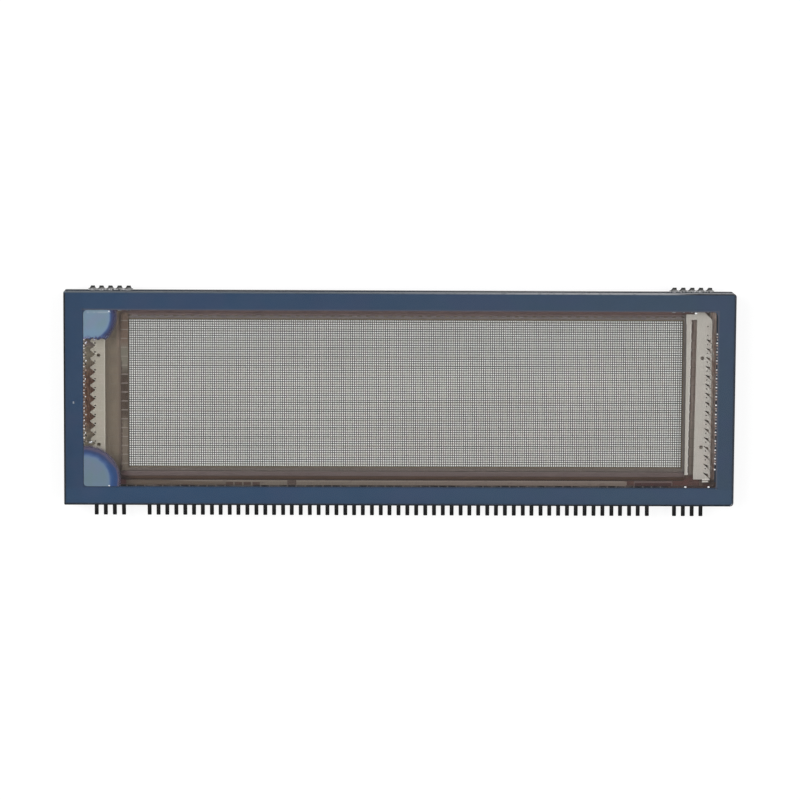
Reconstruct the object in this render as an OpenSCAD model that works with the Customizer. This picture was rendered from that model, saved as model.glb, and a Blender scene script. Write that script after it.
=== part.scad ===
// Graphic vacuum fluorescent display, a flat evacuated glass envelope.
// It lies on its back, face up. The origin is the centre of the rear pane's back face,
// +X runs along the display, +Y towards its upper edge and +Z out of its face.

/* [Dot matrix] */
// Number of dot columns
dot_cols = 253; // [160:1:320]
// Number of dot rows
dot_rows = 64; // [40:1:96]
// Spacing of the dot columns
dot_pitch_x = 0.6225; // [0.55:0.0025:0.7]
// Spacing of the dot rows
dot_pitch_y = 0.656; // [0.55:0.002:0.75]
// Dark gap between neighbouring dots
dot_gap = 0.2; // [0.1:0.01:0.3]
// Thickness of the dots and the electrodes under them
dot_t = 0.1; // [0.05:0.01:0.2]
// Dot columns under each window of the control grid
cols_per_grid = 4; // [2:1:8]
// Width of the bars between the control grid's windows
grid_bar_w = 0.12; // [0.06:0.01:0.18]
// Height of the control grid above the insulation
grid_lift = 0.6; // [0.4:0.05:1]
// Thickness of the control grid's foil
grid_t = 0.06; // [0.04:0.01:0.1]

/* [Envelope] */
// Width of the sealing band all round
seal_w = 5.15; // [4:0.05:8]
// Space inside the seal left of the dots
left_zone = 13.1; // [11.5:0.1:20]
// Space inside the seal right of the dots
right_zone = 9.6; // [9.2:0.1:16]
// Space inside the seal above the dots
top_zone = 3.05; // [2.8:0.05:8]
// Space inside the seal below the dots
bottom_zone = 5.45; // [5:0.05:12]
// Thickness of the rear pane
rear_t = 2.8; // [2:0.1:4]
// Thickness of the front pane
front_t = 2.3; // [1.8:0.1:4]
// Height of the spacer strips
spacer_h = 2.75; // [2.2:0.05:5]
// Thickness of the printed seal under the front pane
front_frit_t = 0.3; // [0.15:0.05:0.5]
// Bevel ground on the outer edges of the panes
edge_bevel = 0.35; // [0.1:0.05:0.6]
// Cut across each corner of the panes
corner_cut = 0.4; // [0.2:0.1:2]

/* [Leads] */
// Spacing of the leads
lead_pitch = 2.54; // [2:0.01:3.2]
// Width of a lead
lead_w = 1.05; // [0.5:0.05:1.4]
// Sideways shift of the main row from the places of the side groups
main_shift = -0.2; // [-0.5:0.05:0.5]
// Thickness of the lead frame
lead_t = 0.25; // [0.15:0.05:0.4]
// Length of a lead outside the glass
lead_len = 3.55; // [2:0.05:12]
// Leads in each side group
side_leads = 4; // [2:1:6]
// Empty lead places between a side group and the main row
group_gap = 2; // [1:1:4]
// Tie bar stubs at each end of the upper edge
stub_count = 5; // [2:1:6]
// Length of a stub outside the glass
stub_len = 1.3; // [0.6:0.05:4]
// Width of a stub's flared root
stub_root_w = 2.4; // [1.5:0.1:2.4]
// Sideways shift of the stubs from the middle of the lead gaps
stub_shift = 0.4; // [0:0.05:0.8]

/* [Filaments] */
// Spacing of the filament wires
fil_pitch = 2.55; // [1.8:0.05:4]
// Diameter of a filament wire
fil_d = 0.06; // [0.04:0.01:0.2]
// Height of the filament plates' upper face above the rear pane
plate_lift = 1.65; // [1.3:0.05:2.2]
// Sheet thickness of the filament plates
plate_t = 0.2; // [0.1:0.05:0.3]
// Width of the anchor plate, its teeth included
anchor_w = 4.25; // [3:0.05:4.6]
// Depth of the notches between the anchor plate's teeth
notch_depth = 1.55; // [0.6:0.05:1.6]
// Width of a notch at the tips of the teeth
notch_w = 2.3; // [1:0.1:2.4]
// Width of the spring plate at its lower end
spring_w = 4.85; // [3.6:0.05:5]
// Sideways lean of the slot beside the spring plate
spring_lean = 0.55; // [0:0.05:1]
// Width of that slot
slot_w = 1.3; // [0.6:0.1:1.6]
// Width of the support strip at its lower end
strip_w = 1.25; // [0.6:0.05:1.4]
// Length of the cuts that part the spring fingers, at the plate's upper end
finger_len = 1.45; // [0.8:0.05:1.8]
// Width of those cuts where they are widest
finger_cut = 0.85; // [0.3:0.05:1]
// Diameter of the gauge holes in both plates
gauge_d = 1.05; // [0.6:0.05:1.2]
// Distance between a plate's two gauge holes
gauge_span = 25.5; // [10:0.5:30]

/* [Getters] */
// Width of a getter channel
getter_w = 1; // [0.7:0.05:1.2]
// Depth of a getter channel
getter_h = 0.7; // [0.4:0.05:0.9]
// Wall of a getter channel
getter_wall = 0.15; // [0.1:0.01:0.2]
// Radius of a getter's mirror film on the front pane
mirror_r = 8; // [4:0.5:12]
// Thickness of the mirror film
mirror_t = 0.05; // [0.03:0.01:0.1]

/* [Driver cover] */
// Gap between the dots and the folded cover
cover_gap = 1.3; // [1.25:0.05:1.6]
// Flat top of the cover
cover_top_w = 1.3; // [1:0.05:1.7]
// Width of the cover's sloping side
cover_slope_w = 1.1; // [0.6:0.05:1.4]
// Height of the cover above the insulation
cover_h = 1.1; // [0.8:0.05:1.3]
// Sheet thickness of the cover
cover_t = 0.12; // [0.08:0.01:0.2]
// Number of driver dies under the cover
die_count = 4; // [1:1:8]
// Length of a driver die
die_len = 14; // [4:0.5:16]
// Thickness of a driver die
die_t = 0.4; // [0.2:0.05:0.5]

/* [Exhaust port] */
// Diameter of the evacuation hole
port_d = 2; // [1:0.1:3]
// Diameter of the recess for its lid
port_recess_d = 7; // [5:0.1:7.5]
// Depth of that recess
port_recess = 1.2; // [0.8:0.1:1.5]
// Thickness of the lid
port_lid_t = 1; // [0.5:0.05:1.1]
// Width of the sealing ring round the lid
port_seal_w = 0.4; // [0.2:0.05:0.8]

/* [Hidden] */
$fn = 48;

// Clearance between neighbours that are laid in beside each other
seat_gap = 0.05;
// Length by which a cutting shape passes the face it cuts
cut_over = 1;

// Plan of the envelope, its window and the dots
matrix_w = dot_cols * dot_pitch_x;
matrix_h = dot_rows * dot_pitch_y;
win_w = left_zone + matrix_w + right_zone;
win_h = bottom_zone + matrix_h + top_zone;
glass_w = win_w + 2 * seal_w;
glass_h = win_h + 2 * seal_w;
edge_x = glass_w / 2;
edge_y = glass_h / 2;
win_l = -win_w / 2;
win_r = win_w / 2;
win_b = -win_h / 2;
win_t = win_h / 2;
win_corner = 0.5;
mat_l = win_l + left_zone;
mat_r = mat_l + matrix_w;
mat_b = win_b + bottom_zone;
mat_t = mat_b + matrix_h;

// Heights of the layers
paste_t = 0.1;
frit_over_leads = 0.1;
base_z = rear_t + paste_t;
lead_top = base_z + lead_t;
spacer_z = lead_top + frit_over_leads;
frit_z = spacer_z + spacer_h;
front_z = frit_z + front_frit_t;
plate_top = rear_t + plate_lift;
plate_z = plate_top - plate_t;
grid_z = base_z + grid_lift;

// Sealing glass and spacer strips stand back from the edges of the panes
frit_inset = 0.1;
spacer_inset = 0.3;
spacer_setback = 0.65;
strip_x = edge_x - spacer_inset;
strip_y = edge_y - spacer_inset;

// Lead places are numbered from the middle of the lower edge
lead_margin = 3;
lead_back = 0.3;
pad_share = 0.67;
pad_back = 0.9;
pad_in = 0.25;
stub_in = 0.65;
stub_tip = 0.25;
stub_base = 0.3;
lead_reach = floor((win_w / 2 - lead_margin) / lead_pitch);
main_reach = lead_reach - side_leads - group_gap;
lead_inner = win_b - lead_back;
pad_w = lead_w + pad_share * (lead_pitch - lead_w);
stub_inner = win_t - stub_in;
main_places = [for (place = [-main_reach:main_reach]) place];
side_places = [for (n = [0:side_leads - 1], side = [-1, 1]) side * (lead_reach - n)];

// Filaments, from the top down
fil_margin = 1;
fil_shift = 0.25;
fil_count = floor((matrix_h - fil_margin) / fil_pitch) + 1;
fil_top = (mat_b + mat_t) / 2 + fil_shift + (fil_count - 1) / 2 * fil_pitch;
fil_end = 3.8;
fil_sides = 8;

// Anchor plate at the left
anchor_gap = 2.15;
anchor_over = 1.6;
notch_shift = 0.65;
anchor_gauge_y = -0.75;
spring_gauge_y = -1;
gauge_shift = 0.26;
anchor_l = win_l + anchor_gap;
anchor_r = anchor_l + anchor_w;
anchor_t = fil_top + anchor_over;
anchor_b = fil_top - (fil_count - 1) * fil_pitch - anchor_over;
foot_len = 1.1;
leg_inset = 0.2;
anchor_leg = [anchor_l + notch_depth + leg_inset, anchor_r - leg_inset];
flange_h = 0.6;
flange_inset = 1.5;

// Spring plate and support strip at the right
spring_gap_side = 1.35;
spring_gap_top = 0.27;
spring_gap_bottom = 2.2;
spring_chamfer = 2.3;
strip_gap_top = 0.95;
strip_gap_bottom = 3.45;
spring_r = win_r - spring_gap_side;
spring_l = spring_r - spring_w;
spring_t = win_t - spring_gap_top;
spring_b = win_b + spring_gap_bottom;
strip_l = spring_l - slot_w - strip_w;
strip_t = win_t - strip_gap_top;
strip_b = win_b + strip_gap_bottom;
bridge_h = 1.6;
nib_w = 0.9;
nib_h = 0.2;
strip_lean = 0.45;
finger_drop = 0.85;
finger_rise = 0.36;
finger_root = 0.1;
finger_share = 0.72;
finger_slit = 0.25;
foot_run = 0.45;
foot_out = 0.7;
foot_w = 2.15;
upper_leg_w = 1.5;
upper_leg = [spring_l + spring_lean + seat_gap, spring_l + spring_lean + upper_leg_w];
lower_leg = [spring_r - foot_w, spring_r - seat_gap];
strip_leg_at = [0.35, 0.85];
strip_leg = [for (share = strip_leg_at) strip_l + share * strip_w];

// Control grid: rails round the dots
rail_l = 2.3;
rail_r = 0.9;
rail_t = 1.8;
rail_b = 1.2;
rail_gap_side = 0.3;
rail_gap_top = 0.5;
rail_gap_bottom = 0.4;
grid_l = mat_l - rail_l;
grid_r = mat_r + rail_r;
grid_t_edge = mat_t + rail_t;
grid_b_edge = mat_b - rail_b;
grid_pitch = cols_per_grid * dot_pitch_x;
grid_windows = ceil(dot_cols / cols_per_grid);
rail_slot_w = 1.1;
rail_slot_h = 0.45;
rail_slot_rise = 1.15;
rail_slot_y = mat_t + rail_slot_rise;
grid_foot_w = 1.2;
grid_foot_len = 0.5;
grid_feet = 6;

// Folded cover over the driver dies
cover_upper = mat_b - cover_gap;
cover_fold = cover_upper - cover_top_w;
cover_lower = cover_fold - cover_slope_w;
cover_flange = 0.25;
cover_over_l = 2.3;
cover_over_r = 0.8;
cover_edge = cover_lower - cover_flange;
cover_l = mat_l - cover_over_l;
cover_r = mat_r + cover_over_r;
die_w = cover_top_w - cover_t - 2 * seat_gap;

// Wiring fields from the cover to the seal, measured along the lead places
film_t = 0.05;
wiring_gap = 0.1;
wiring_t = cover_edge - wiring_gap;
wiring_b = win_b + seat_gap;
wiring_split = -12;
wiring_over = 0.63;
bar_span = 4.25;
bar_over = 0.75;
field_gap = 0.5;
bar_end = lead_reach - side_leads + bar_over;
bar_start = bar_end - bar_span;

// Getter channels lie between lead places, clear of the leads under them
getter_lift = 0.65;
getter_z = base_z + getter_lift;
getter_edge_upper = 0.25;
getter_edge_lower = 1.75;
getter_leg_w = 0.5;
getter_over = 0.3;
getter_fill_h = 0.35;
getter_ends = [-0.5, 1.5];
getter_upper_x = [for (n = getter_ends) stub_x(-1, n)];
getter_lower_x = [for (n = getter_ends) lead_x(n - lead_reach)];
getter_upper_y = win_t - getter_edge_upper - getter_w;
getter_lower_y = win_b + getter_edge_lower;
mirror_in_upper = [0.6, -1.8];
mirror_in_lower = [1.1, 1.65];
mirror_upper = [win_l, win_t] + mirror_in_upper;
mirror_lower = [win_l, win_b] + mirror_in_lower;
mirror_cut = 8.6;

// Exhaust port, under the spring plate
port_inset = 3.9;
port_seal_step = 0.1;
port_x = win_r - port_inset;
port_lid_d = port_recess_d - 2 * port_seal_w;
port_seal_t = port_lid_t - port_seal_step;

// Share of a sheet's thickness by which a fold moves its inner side
fold_in_cover = 1.4;
fold_in_leg = 0.75;

function in_main(place) = abs(place) < main_reach + 1;
function lead_x(place) = place * lead_pitch + (in_main(place) ? main_shift : 0);
function stub_x(side, n) = side * (lead_reach - n + 1 / 2) * lead_pitch + stub_shift;
function fil_y(n) = fil_top - n * fil_pitch;
function lean_at(y) = spring_lean * (y - spring_b) / (spring_t - spring_b);
function is_under(x, foot) = x + lead_w / 2 > foot[0] && x - lead_w / 2 < foot[1];

// Box between two opposite corners
module span(low, high) {
    translate(low) cube(high - low);
}

// Prism along X from an outline drawn in Y and Z
module along_x(x0, x1) {
    translate([x0, 0, 0]) rotate([90, 0, 90]) linear_extrude(x1 - x0) children();
}

// Rectangle with its corners cut across
module cut_rectangle(half_w, half_h, cut) {
    polygon([[-half_w + cut, -half_h], [half_w - cut, -half_h], [half_w, -half_h + cut],
        [half_w, half_h - cut], [half_w - cut, half_h], [-half_w + cut, half_h],
        [-half_w, half_h - cut], [-half_w, -half_h + cut]]);
}

module window_outline(inset = 0) {
    cut_rectangle(win_w / 2 - inset, win_h / 2 - inset, win_corner);
}

module seal_outline() {
    difference() {
        cut_rectangle(edge_x - frit_inset, edge_y - frit_inset, corner_cut);
        window_outline();
    }
}

// Section of a pane with bevels on its upper edges
module bevel_section(half, thick) {
    polygon([[-half, 0], [half, 0], [half, thick - edge_bevel], [half - edge_bevel, thick],
        [-half + edge_bevel, thick], [-half, thick - edge_bevel]]);
}

module bevelled_pane(thick) {
    intersection() {
        linear_extrude(thick) cut_rectangle(edge_x, edge_y, corner_cut);
        along_x(-edge_x, edge_x) bevel_section(edge_y, thick);
        rotate([0, 0, 90]) along_x(-edge_y, edge_y) bevel_section(edge_x, thick);
    }
}

module rear_glass() {
    color([0.72, 0.80, 0.78, 0.5]) difference() {
        translate([0, 0, rear_t]) mirror([0, 0, 1]) bevelled_pane(rear_t);
        translate([port_x, 0, -cut_over]) cylinder(d = port_d, h = rear_t + 2 * cut_over);
        translate([port_x, 0, -cut_over]) cylinder(d = port_recess_d, h = port_recess + cut_over);
    }
}

module exhaust_lid() {
    color([0.68, 0.76, 0.75]) translate([port_x, 0, port_recess - port_lid_t])
        cylinder(d = port_lid_d, h = port_lid_t);
}

module exhaust_seal() {
    color([0.20, 0.24, 0.31]) translate([port_x, 0, port_recess - port_seal_t]) difference() {
        cylinder(d = port_recess_d, h = port_seal_t);
        translate([0, 0, -cut_over]) cylinder(d = port_lid_d, h = port_seal_t + 2 * cut_over);
    }
}

module rear_frit() {
    color([0.22, 0.27, 0.36]) difference() {
        translate([0, 0, rear_t]) linear_extrude(spacer_z - rear_t) seal_outline();
        translate([0, 0, rear_t - cut_over]) linear_extrude(paste_t + cut_over) pad_outlines();
        all_leads();
    }
}

// Upper or lower spacer strip, the full length of the seal
module long_spacer(side) {
    inner = win_h / 2 + spacer_setback;
    low = side > 0 ? inner : -strip_y;
    color([0.75, 0.83, 0.82]) span([-strip_x, low, spacer_z], [strip_x, low + strip_y - inner, frit_z]);
}

// End spacer strip, between the long ones
module short_spacer(side) {
    inner = win_w / 2 + spacer_setback;
    low = side > 0 ? inner : -strip_x;
    end = win_h / 2 + spacer_setback;
    color([0.75, 0.83, 0.82]) span([low, -end, spacer_z], [low + strip_x - inner, end, frit_z]);
}

module front_frit() {
    color([0.23, 0.30, 0.40]) translate([0, 0, frit_z]) linear_extrude(front_frit_t) seal_outline();
}

module front_glass() {
    color([0.80, 0.88, 0.88, 0.3]) translate([0, 0, front_z]) bevelled_pane(front_t);
}

// Printed over the whole window, except at the contact pads and the port
module insulation_layer() {
    color([0.42, 0.38, 0.35]) translate([0, 0, rear_t]) linear_extrude(paste_t) difference() {
        window_outline();
        pad_outlines();
        translate([port_x, 0]) circle(d = port_d);
    }
}

// Paste that joins the inner end of each lead to the wiring, half under the seal
module pad_outlines() {
    for (place = concat(main_places, side_places))
        translate([lead_x(place) - pad_w / 2, win_b - pad_back]) square([pad_w, pad_back + pad_in]);
}

module contact_pads() {
    color([0.30, 0.26, 0.23]) translate([0, 0, rear_t]) linear_extrude(paste_t) pad_outlines();
}

// Field of fine wiring between two lead places
module field(from, to, thick) {
    span([lead_x(from), wiring_b, base_z], [lead_x(to), wiring_t, base_z + thick]);
}

module lead_wiring() {
    color([0.45, 0.41, 0.39]) {
        field(-lead_reach + side_leads - wiring_over, wiring_split - field_gap, film_t);
        field(wiring_split + field_gap, bar_start - 2 * field_gap, film_t);
    }
}

module bar_field() {
    color([0.37, 0.29, 0.29]) field(bar_start, bar_end, 2 * film_t);
}

// Dot rows as ridges on a thin electrode layer
module phosphor_matrix() {
    ridge = dot_pitch_y - dot_gap;
    floor_z = base_z + dot_t / 2;
    top_z = base_z + dot_t;
    rows = [for (n = [0:dot_rows - 1], corner = [[0, floor_z], [0, top_z], [ridge, top_z], [ridge, floor_z]])
        [mat_b + n * dot_pitch_y + dot_gap / 2 + corner[0], corner[1]]];
    color([0.62, 0.61, 0.59]) along_x(mat_l, mat_r)
        polygon(concat([[mat_t, base_z], [mat_b, base_z], [mat_b, floor_z]], rows, [[mat_t, floor_z]]));
}

// One of the bent tabs that carry the control grid
module grid_foot(x, y, inward) {
    span([x - grid_foot_w / 2, min(y, y + inward * grid_t), base_z],
        [x + grid_foot_w / 2, max(y, y + inward * grid_t), grid_z + grid_t]);
    span([x - grid_foot_w / 2, min(y, y + inward * grid_foot_len), base_z],
        [x + grid_foot_w / 2, max(y, y + inward * grid_foot_len), base_z + grid_t]);
}

module control_grid() {
    window_h = matrix_h + rail_gap_top + rail_gap_bottom;
    foot_pitch = (grid_r - grid_l - grid_foot_w) / (grid_feet - 1);
    color([0.40, 0.37, 0.34]) {
        translate([0, 0, grid_z]) linear_extrude(grid_t) difference() {
            translate([grid_l, grid_b_edge]) square([grid_r - grid_l, grid_t_edge - grid_b_edge]);
            for (n = [0:grid_windows - 1]) {
                left = n == 0 ? mat_l - rail_gap_side : mat_l + n * grid_pitch + grid_bar_w / 2;
                right = n == grid_windows - 1 ? mat_r + rail_gap_side
                    : mat_l + (n + 1) * grid_pitch - grid_bar_w / 2;
                translate([left, mat_b - rail_gap_bottom]) square([right - left, window_h]);
                translate([left, rail_slot_y - rail_slot_h / 2])
                    square([min(rail_slot_w, right - left), rail_slot_h]);
            }
        }
        for (n = [0:grid_feet - 1]) {
            grid_foot(grid_l + grid_foot_w / 2 + n * foot_pitch, grid_t_edge, -1);
            grid_foot(grid_l + grid_foot_w / 2 + n * foot_pitch, grid_b_edge, 1);
        }
    }
}

module die_cover() {
    top_z = base_z + cover_h;
    slope_in = cover_t * fold_in_cover;
    color([0.36, 0.30, 0.28]) along_x(cover_l, cover_r)
        polygon([[cover_upper, base_z], [cover_upper, top_z], [cover_fold, top_z],
            [cover_lower, base_z + cover_t], [cover_edge, base_z + cover_t], [cover_edge, base_z],
            [cover_lower + slope_in, base_z], [cover_fold + slope_in / 2, top_z - cover_t],
            [cover_upper - cover_t, top_z - cover_t], [cover_upper - cover_t, base_z]]);
}

module driver_dies() {
    die_pitch = (cover_r - cover_l) / die_count;
    die_y = cover_upper - cover_t - seat_gap - die_w;
    color([0.25, 0.25, 0.28]) for (n = [0:die_count - 1]) {
        left = cover_l + (n + 0.5) * die_pitch - die_len / 2;
        span([left, die_y, base_z], [left + die_len, die_y + die_w, base_z + die_t]);
    }
}

// Wires lie on a flat of their own, on the upper faces of both plates
module filaments() {
    flat = fil_d / 2 * cos(180 / fil_sides);
    color([0.85, 0.84, 0.80]) for (n = [0:fil_count - 1])
        translate([win_l + fil_end, fil_y(n), plate_top + flat]) rotate([0, 90, 0])
            rotate([0, 0, 180 / fil_sides]) cylinder(d = fil_d, h = win_w - 2 * fil_end, $fn = fil_sides);
}

// Leg folded down from a plate's end, with its foot turned back under the plate
module folded_leg(leg, end, inward, foot_z) {
    span([leg[0], min(end, end + inward * plate_t), foot_z],
        [leg[1], max(end, end + inward * plate_t), plate_z]);
    span([leg[0], min(end, end + inward * foot_len), foot_z],
        [leg[1], max(end, end + inward * foot_len), foot_z + plate_t]);
}

// Leg that slopes down from a plate's lower end to a foot outside it
module sloped_leg(leg, end, foot_z) {
    slope_in = plate_t * fold_in_leg;
    along_x(leg[0], leg[1])
        polygon([[end, plate_top], [end, plate_z], [end - foot_run, foot_z],
            [end - foot_run - foot_out, foot_z], [end - foot_run - foot_out, foot_z + plate_t],
            [end - foot_run - slope_in, foot_z + plate_t], [end - slope_in, plate_top]]);
}

module filament_anchor() {
    color([0.66, 0.64, 0.59]) {
        translate([0, 0, plate_z]) linear_extrude(plate_t) difference() {
            translate([anchor_l, anchor_b]) square([anchor_w, anchor_t - anchor_b]);
            for (n = [0:fil_count - 1])
                translate([anchor_l, fil_y(n) + notch_shift])
                    polygon([[0, notch_w / 2], [0, -notch_w / 2], [notch_depth, 0]]);
            for (side = [-1, 1])
                translate([anchor_l + anchor_w / 2 + gauge_shift, anchor_gauge_y + side * gauge_span / 2])
                    circle(d = gauge_d);
        }
        folded_leg(anchor_leg, anchor_t, -1, lead_top);
        folded_leg(anchor_leg, anchor_b, 1, lead_top);
        span([anchor_r - plate_t, anchor_b + flange_inset, plate_z - flange_h],
            [anchor_r, anchor_t - flange_inset, plate_z]);
    }
}

// Spring plate with slanted cuts that leave one finger for each filament
module spring_outline() {
    difference() {
        polygon([[spring_l, spring_b], [spring_r, spring_b], [spring_r, spring_t - spring_chamfer],
            [spring_r - spring_chamfer, spring_t], [spring_l + spring_lean, spring_t]]);
        for (n = [1:fil_count - 1]) finger_gap(fil_y(n + 1) + finger_rise);
        for (side = [-1, 1])
            translate([spring_r - spring_w / 2 - gauge_shift, spring_gauge_y + side * gauge_span / 2])
                circle(d = gauge_d);
    }
}

// Slanted cut that widens from its root and runs out to the plate's edge as a slit
module finger_gap(y) {
    reach = finger_len + spring_lean - lean_at(y);
    wide = finger_share * reach;
    run = reach + cut_over;
    translate([spring_r - reach, y - finger_root])
        polygon([[0, 2 * finger_root], [0, 0], [run, -finger_drop * run],
            [run, finger_slit - finger_drop * run], [wide, finger_slit - finger_drop * wide],
            [wide, finger_cut - finger_drop * wide]]);
}

// Support strip, with a nib under each filament, and its bridge to the spring plate
module support_outline() {
    edge = spring_l - slot_w;
    polygon([[strip_l, strip_b], [edge + strip_lean * lean_at(strip_b), strip_b],
        [edge + strip_lean * lean_at(strip_t), strip_t], [strip_l, strip_t]]);
    for (n = [0:fil_count - 1])
        translate([edge + strip_lean * lean_at(fil_y(n)), fil_y(n)])
            polygon([[-nib_h, -nib_w / 2], [0, -nib_w / 2], [nib_h, 0], [0, nib_w / 2], [-nib_h, nib_w / 2]]);
    polygon([[strip_l, strip_t - bridge_h], [spring_l + slot_w, strip_t - bridge_h],
        [spring_l + slot_w, strip_t], [strip_l, strip_t]]);
}

module filament_spring_frame() {
    color([0.68, 0.66, 0.64]) {
        translate([0, 0, plate_z]) linear_extrude(plate_t) union() {
            spring_outline();
            support_outline();
        }
        folded_leg(upper_leg, spring_t, -1, lead_top);
        sloped_leg(lower_leg, spring_b, lead_top);
        folded_leg(strip_leg, strip_b, 1, base_z);
    }
}

// Channel of a getter, open upwards, on two legs
module getter_channel(x0, x1, y) {
    far = getter_w - getter_wall;
    along_x(x0 - getter_over, x1 + getter_over) translate([y, getter_z])
        polygon([[0, 0], [getter_w, 0], [getter_w, getter_h], [far, getter_h], [far, getter_wall],
            [getter_wall, getter_wall], [getter_wall, getter_h], [0, getter_h]]);
    for (x = [x0, x1])
        span([x - getter_leg_w / 2, y + getter_wall, base_z],
            [x + getter_leg_w / 2, y + getter_w - getter_wall, getter_z]);
}

// Sintered rest of the getter alloy on the floor of its channel
module getter_fill(x0, x1, y) {
    span([x0, y + getter_wall, getter_z + getter_wall],
        [x1, y + getter_w - getter_wall, getter_z + getter_wall + getter_fill_h]);
}

module getter_upper() {
    color([0.55, 0.55, 0.54]) getter_channel(getter_upper_x[0], getter_upper_x[1], getter_upper_y);
}

module getter_lower() {
    color([0.55, 0.55, 0.54]) getter_channel(getter_lower_x[0], getter_lower_x[1], getter_lower_y);
}

module getter_fill_upper() {
    color([0.22, 0.21, 0.20]) getter_fill(getter_upper_x[0], getter_upper_x[1], getter_upper_y);
}

module getter_fill_lower() {
    color([0.22, 0.21, 0.20]) getter_fill(getter_lower_x[0], getter_lower_x[1], getter_lower_y);
}

// Mirror film in a corner of the window, on the inside of the front pane
module mirror_film(centre, low) {
    color([0.46, 0.55, 0.63]) translate([0, 0, front_z - mirror_t]) linear_extrude(mirror_t) intersection() {
        window_outline(seat_gap);
        translate(centre) circle(r = mirror_r);
        translate([win_l, low]) square([win_w, win_h]);
    }
}

module getter_mirror_upper() {
    mirror_film(mirror_upper, win_t - mirror_cut);
}

module getter_mirror_lower() {
    mirror_film(mirror_lower, win_b);
}

// Flat lead at one place, from its tip below the glass to its inner end
module lead(place, inner) {
    translate([lead_x(place), 0])
        span([-lead_w / 2, -edge_y - lead_len, base_z], [lead_w / 2, inner, lead_top]);
}

// Cut tie bar, flared where it leaves the glass
module stub(x, inner) {
    half = lead_w / 2;
    root = stub_root_w / 2;
    base = edge_y + stub_base;
    neck = edge_y + stub_len - stub_tip;
    tip = edge_y + stub_len;
    translate([x, 0, base_z]) linear_extrude(lead_t)
        polygon([[-half, inner], [half, inner], [half, edge_y], [root, edge_y], [root, base], [half, neck],
            [half, tip], [-half, tip], [-half, neck], [-root, base], [-root, edge_y], [-half, edge_y]]);
}

module leads_main() {
    color([0.19, 0.19, 0.20]) for (place = main_places) lead(place, lead_inner);
}

// Leads under a plate's foot run on inside the glass to carry it
module leads_left() {
    carried = anchor_b + foot_len;
    color([0.19, 0.19, 0.20]) for (n = [0:side_leads - 1])
        lead(n - lead_reach, is_under(lead_x(n - lead_reach), anchor_leg) ? carried : lead_inner);
}

module leads_right() {
    carried = spring_b - foot_run;
    color([0.19, 0.19, 0.20]) for (n = [0:side_leads - 1])
        lead(lead_reach - n, is_under(lead_x(lead_reach - n), lower_leg) ? carried : lead_inner);
}

module stubs_left() {
    color([0.30, 0.30, 0.30]) for (n = [0:stub_count - 1])
        stub(stub_x(-1, n), is_under(stub_x(-1, n), anchor_leg) ? anchor_t - foot_len : stub_inner);
}

module stubs_right() {
    color([0.30, 0.30, 0.30]) for (n = [0:stub_count - 1])
        stub(stub_x(1, n), is_under(stub_x(1, n), upper_leg) ? spring_t - foot_len : stub_inner);
}

module all_leads() {
    leads_main();
    leads_left();
    leads_right();
    stubs_left();
    stubs_right();
}

rear_glass();
exhaust_lid();
exhaust_seal();
rear_frit();
long_spacer(1);  // spacer_top
long_spacer(-1);  // spacer_bottom
short_spacer(-1);  // spacer_left
short_spacer(1);  // spacer_right
front_frit();
front_glass();
insulation_layer();
contact_pads();
lead_wiring();
bar_field();
phosphor_matrix();
control_grid();
die_cover();
driver_dies();
filaments();
filament_anchor();
filament_spring_frame();
getter_upper();
getter_lower();
getter_fill_upper();
getter_fill_lower();
getter_mirror_upper();
getter_mirror_lower();
leads_main();
leads_left();
leads_right();
stubs_left();
stubs_right();
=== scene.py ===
import math
import random

import bmesh
import bpy
from mathutils import Matrix, Vector


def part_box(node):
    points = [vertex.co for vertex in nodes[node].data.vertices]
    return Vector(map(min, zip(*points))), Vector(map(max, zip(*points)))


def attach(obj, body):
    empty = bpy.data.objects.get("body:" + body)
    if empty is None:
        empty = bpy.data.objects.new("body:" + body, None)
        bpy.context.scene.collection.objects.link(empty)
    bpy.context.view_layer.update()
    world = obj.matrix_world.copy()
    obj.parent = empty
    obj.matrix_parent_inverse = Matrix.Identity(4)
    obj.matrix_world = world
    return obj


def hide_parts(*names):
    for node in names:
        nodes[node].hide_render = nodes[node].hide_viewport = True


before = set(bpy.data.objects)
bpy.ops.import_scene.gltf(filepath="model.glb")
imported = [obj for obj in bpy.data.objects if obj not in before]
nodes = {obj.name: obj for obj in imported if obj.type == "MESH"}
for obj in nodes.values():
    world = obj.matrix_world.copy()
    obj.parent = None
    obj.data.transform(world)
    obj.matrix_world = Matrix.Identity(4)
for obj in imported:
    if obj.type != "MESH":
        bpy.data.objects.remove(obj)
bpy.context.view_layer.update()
scene = bpy.context.scene
scene.view_settings.view_transform = "Standard"

MM = 0.001
BODY = "root"


def low_of(node):
    """Lower corner of a CAD node's box in millimetres."""
    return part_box(node)[0] / MM


def high_of(node):
    """Upper corner of a CAD node's box in millimetres."""
    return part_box(node)[1] / MM


# Places read from the CAD nodes, in millimetres
EDGE_X, EDGE_Y, FACE_Z = high_of("front_glass")
FRONT_IN = low_of("front_glass").z
REAR_IN = high_of("rear_glass").z
FRIT_Z = low_of("front_frit").z
FILM_Z = low_of("getter_mirror_upper").z
WIN_Y = high_of("insulation_layer").y
DOTS_L, DOTS_B, DOTS_Z = low_of("phosphor_matrix")
DOTS_R, DOTS_T, DOTS_TOP = high_of("phosphor_matrix")
LEAD_TIP, LEAD_Z = low_of("leads_main").yz
LEAD_TOP = high_of("leads_main").z
STUB_TIP = high_of("stubs_left").y
PLATE_TOP = high_of("filament_anchor").z
PORT_X = (low_of("exhaust_lid").x + high_of("exhaust_lid").x) / 2
PORT_DEPTH = high_of("exhaust_lid").z
TAN_END = high_of("lead_wiring").x

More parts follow.
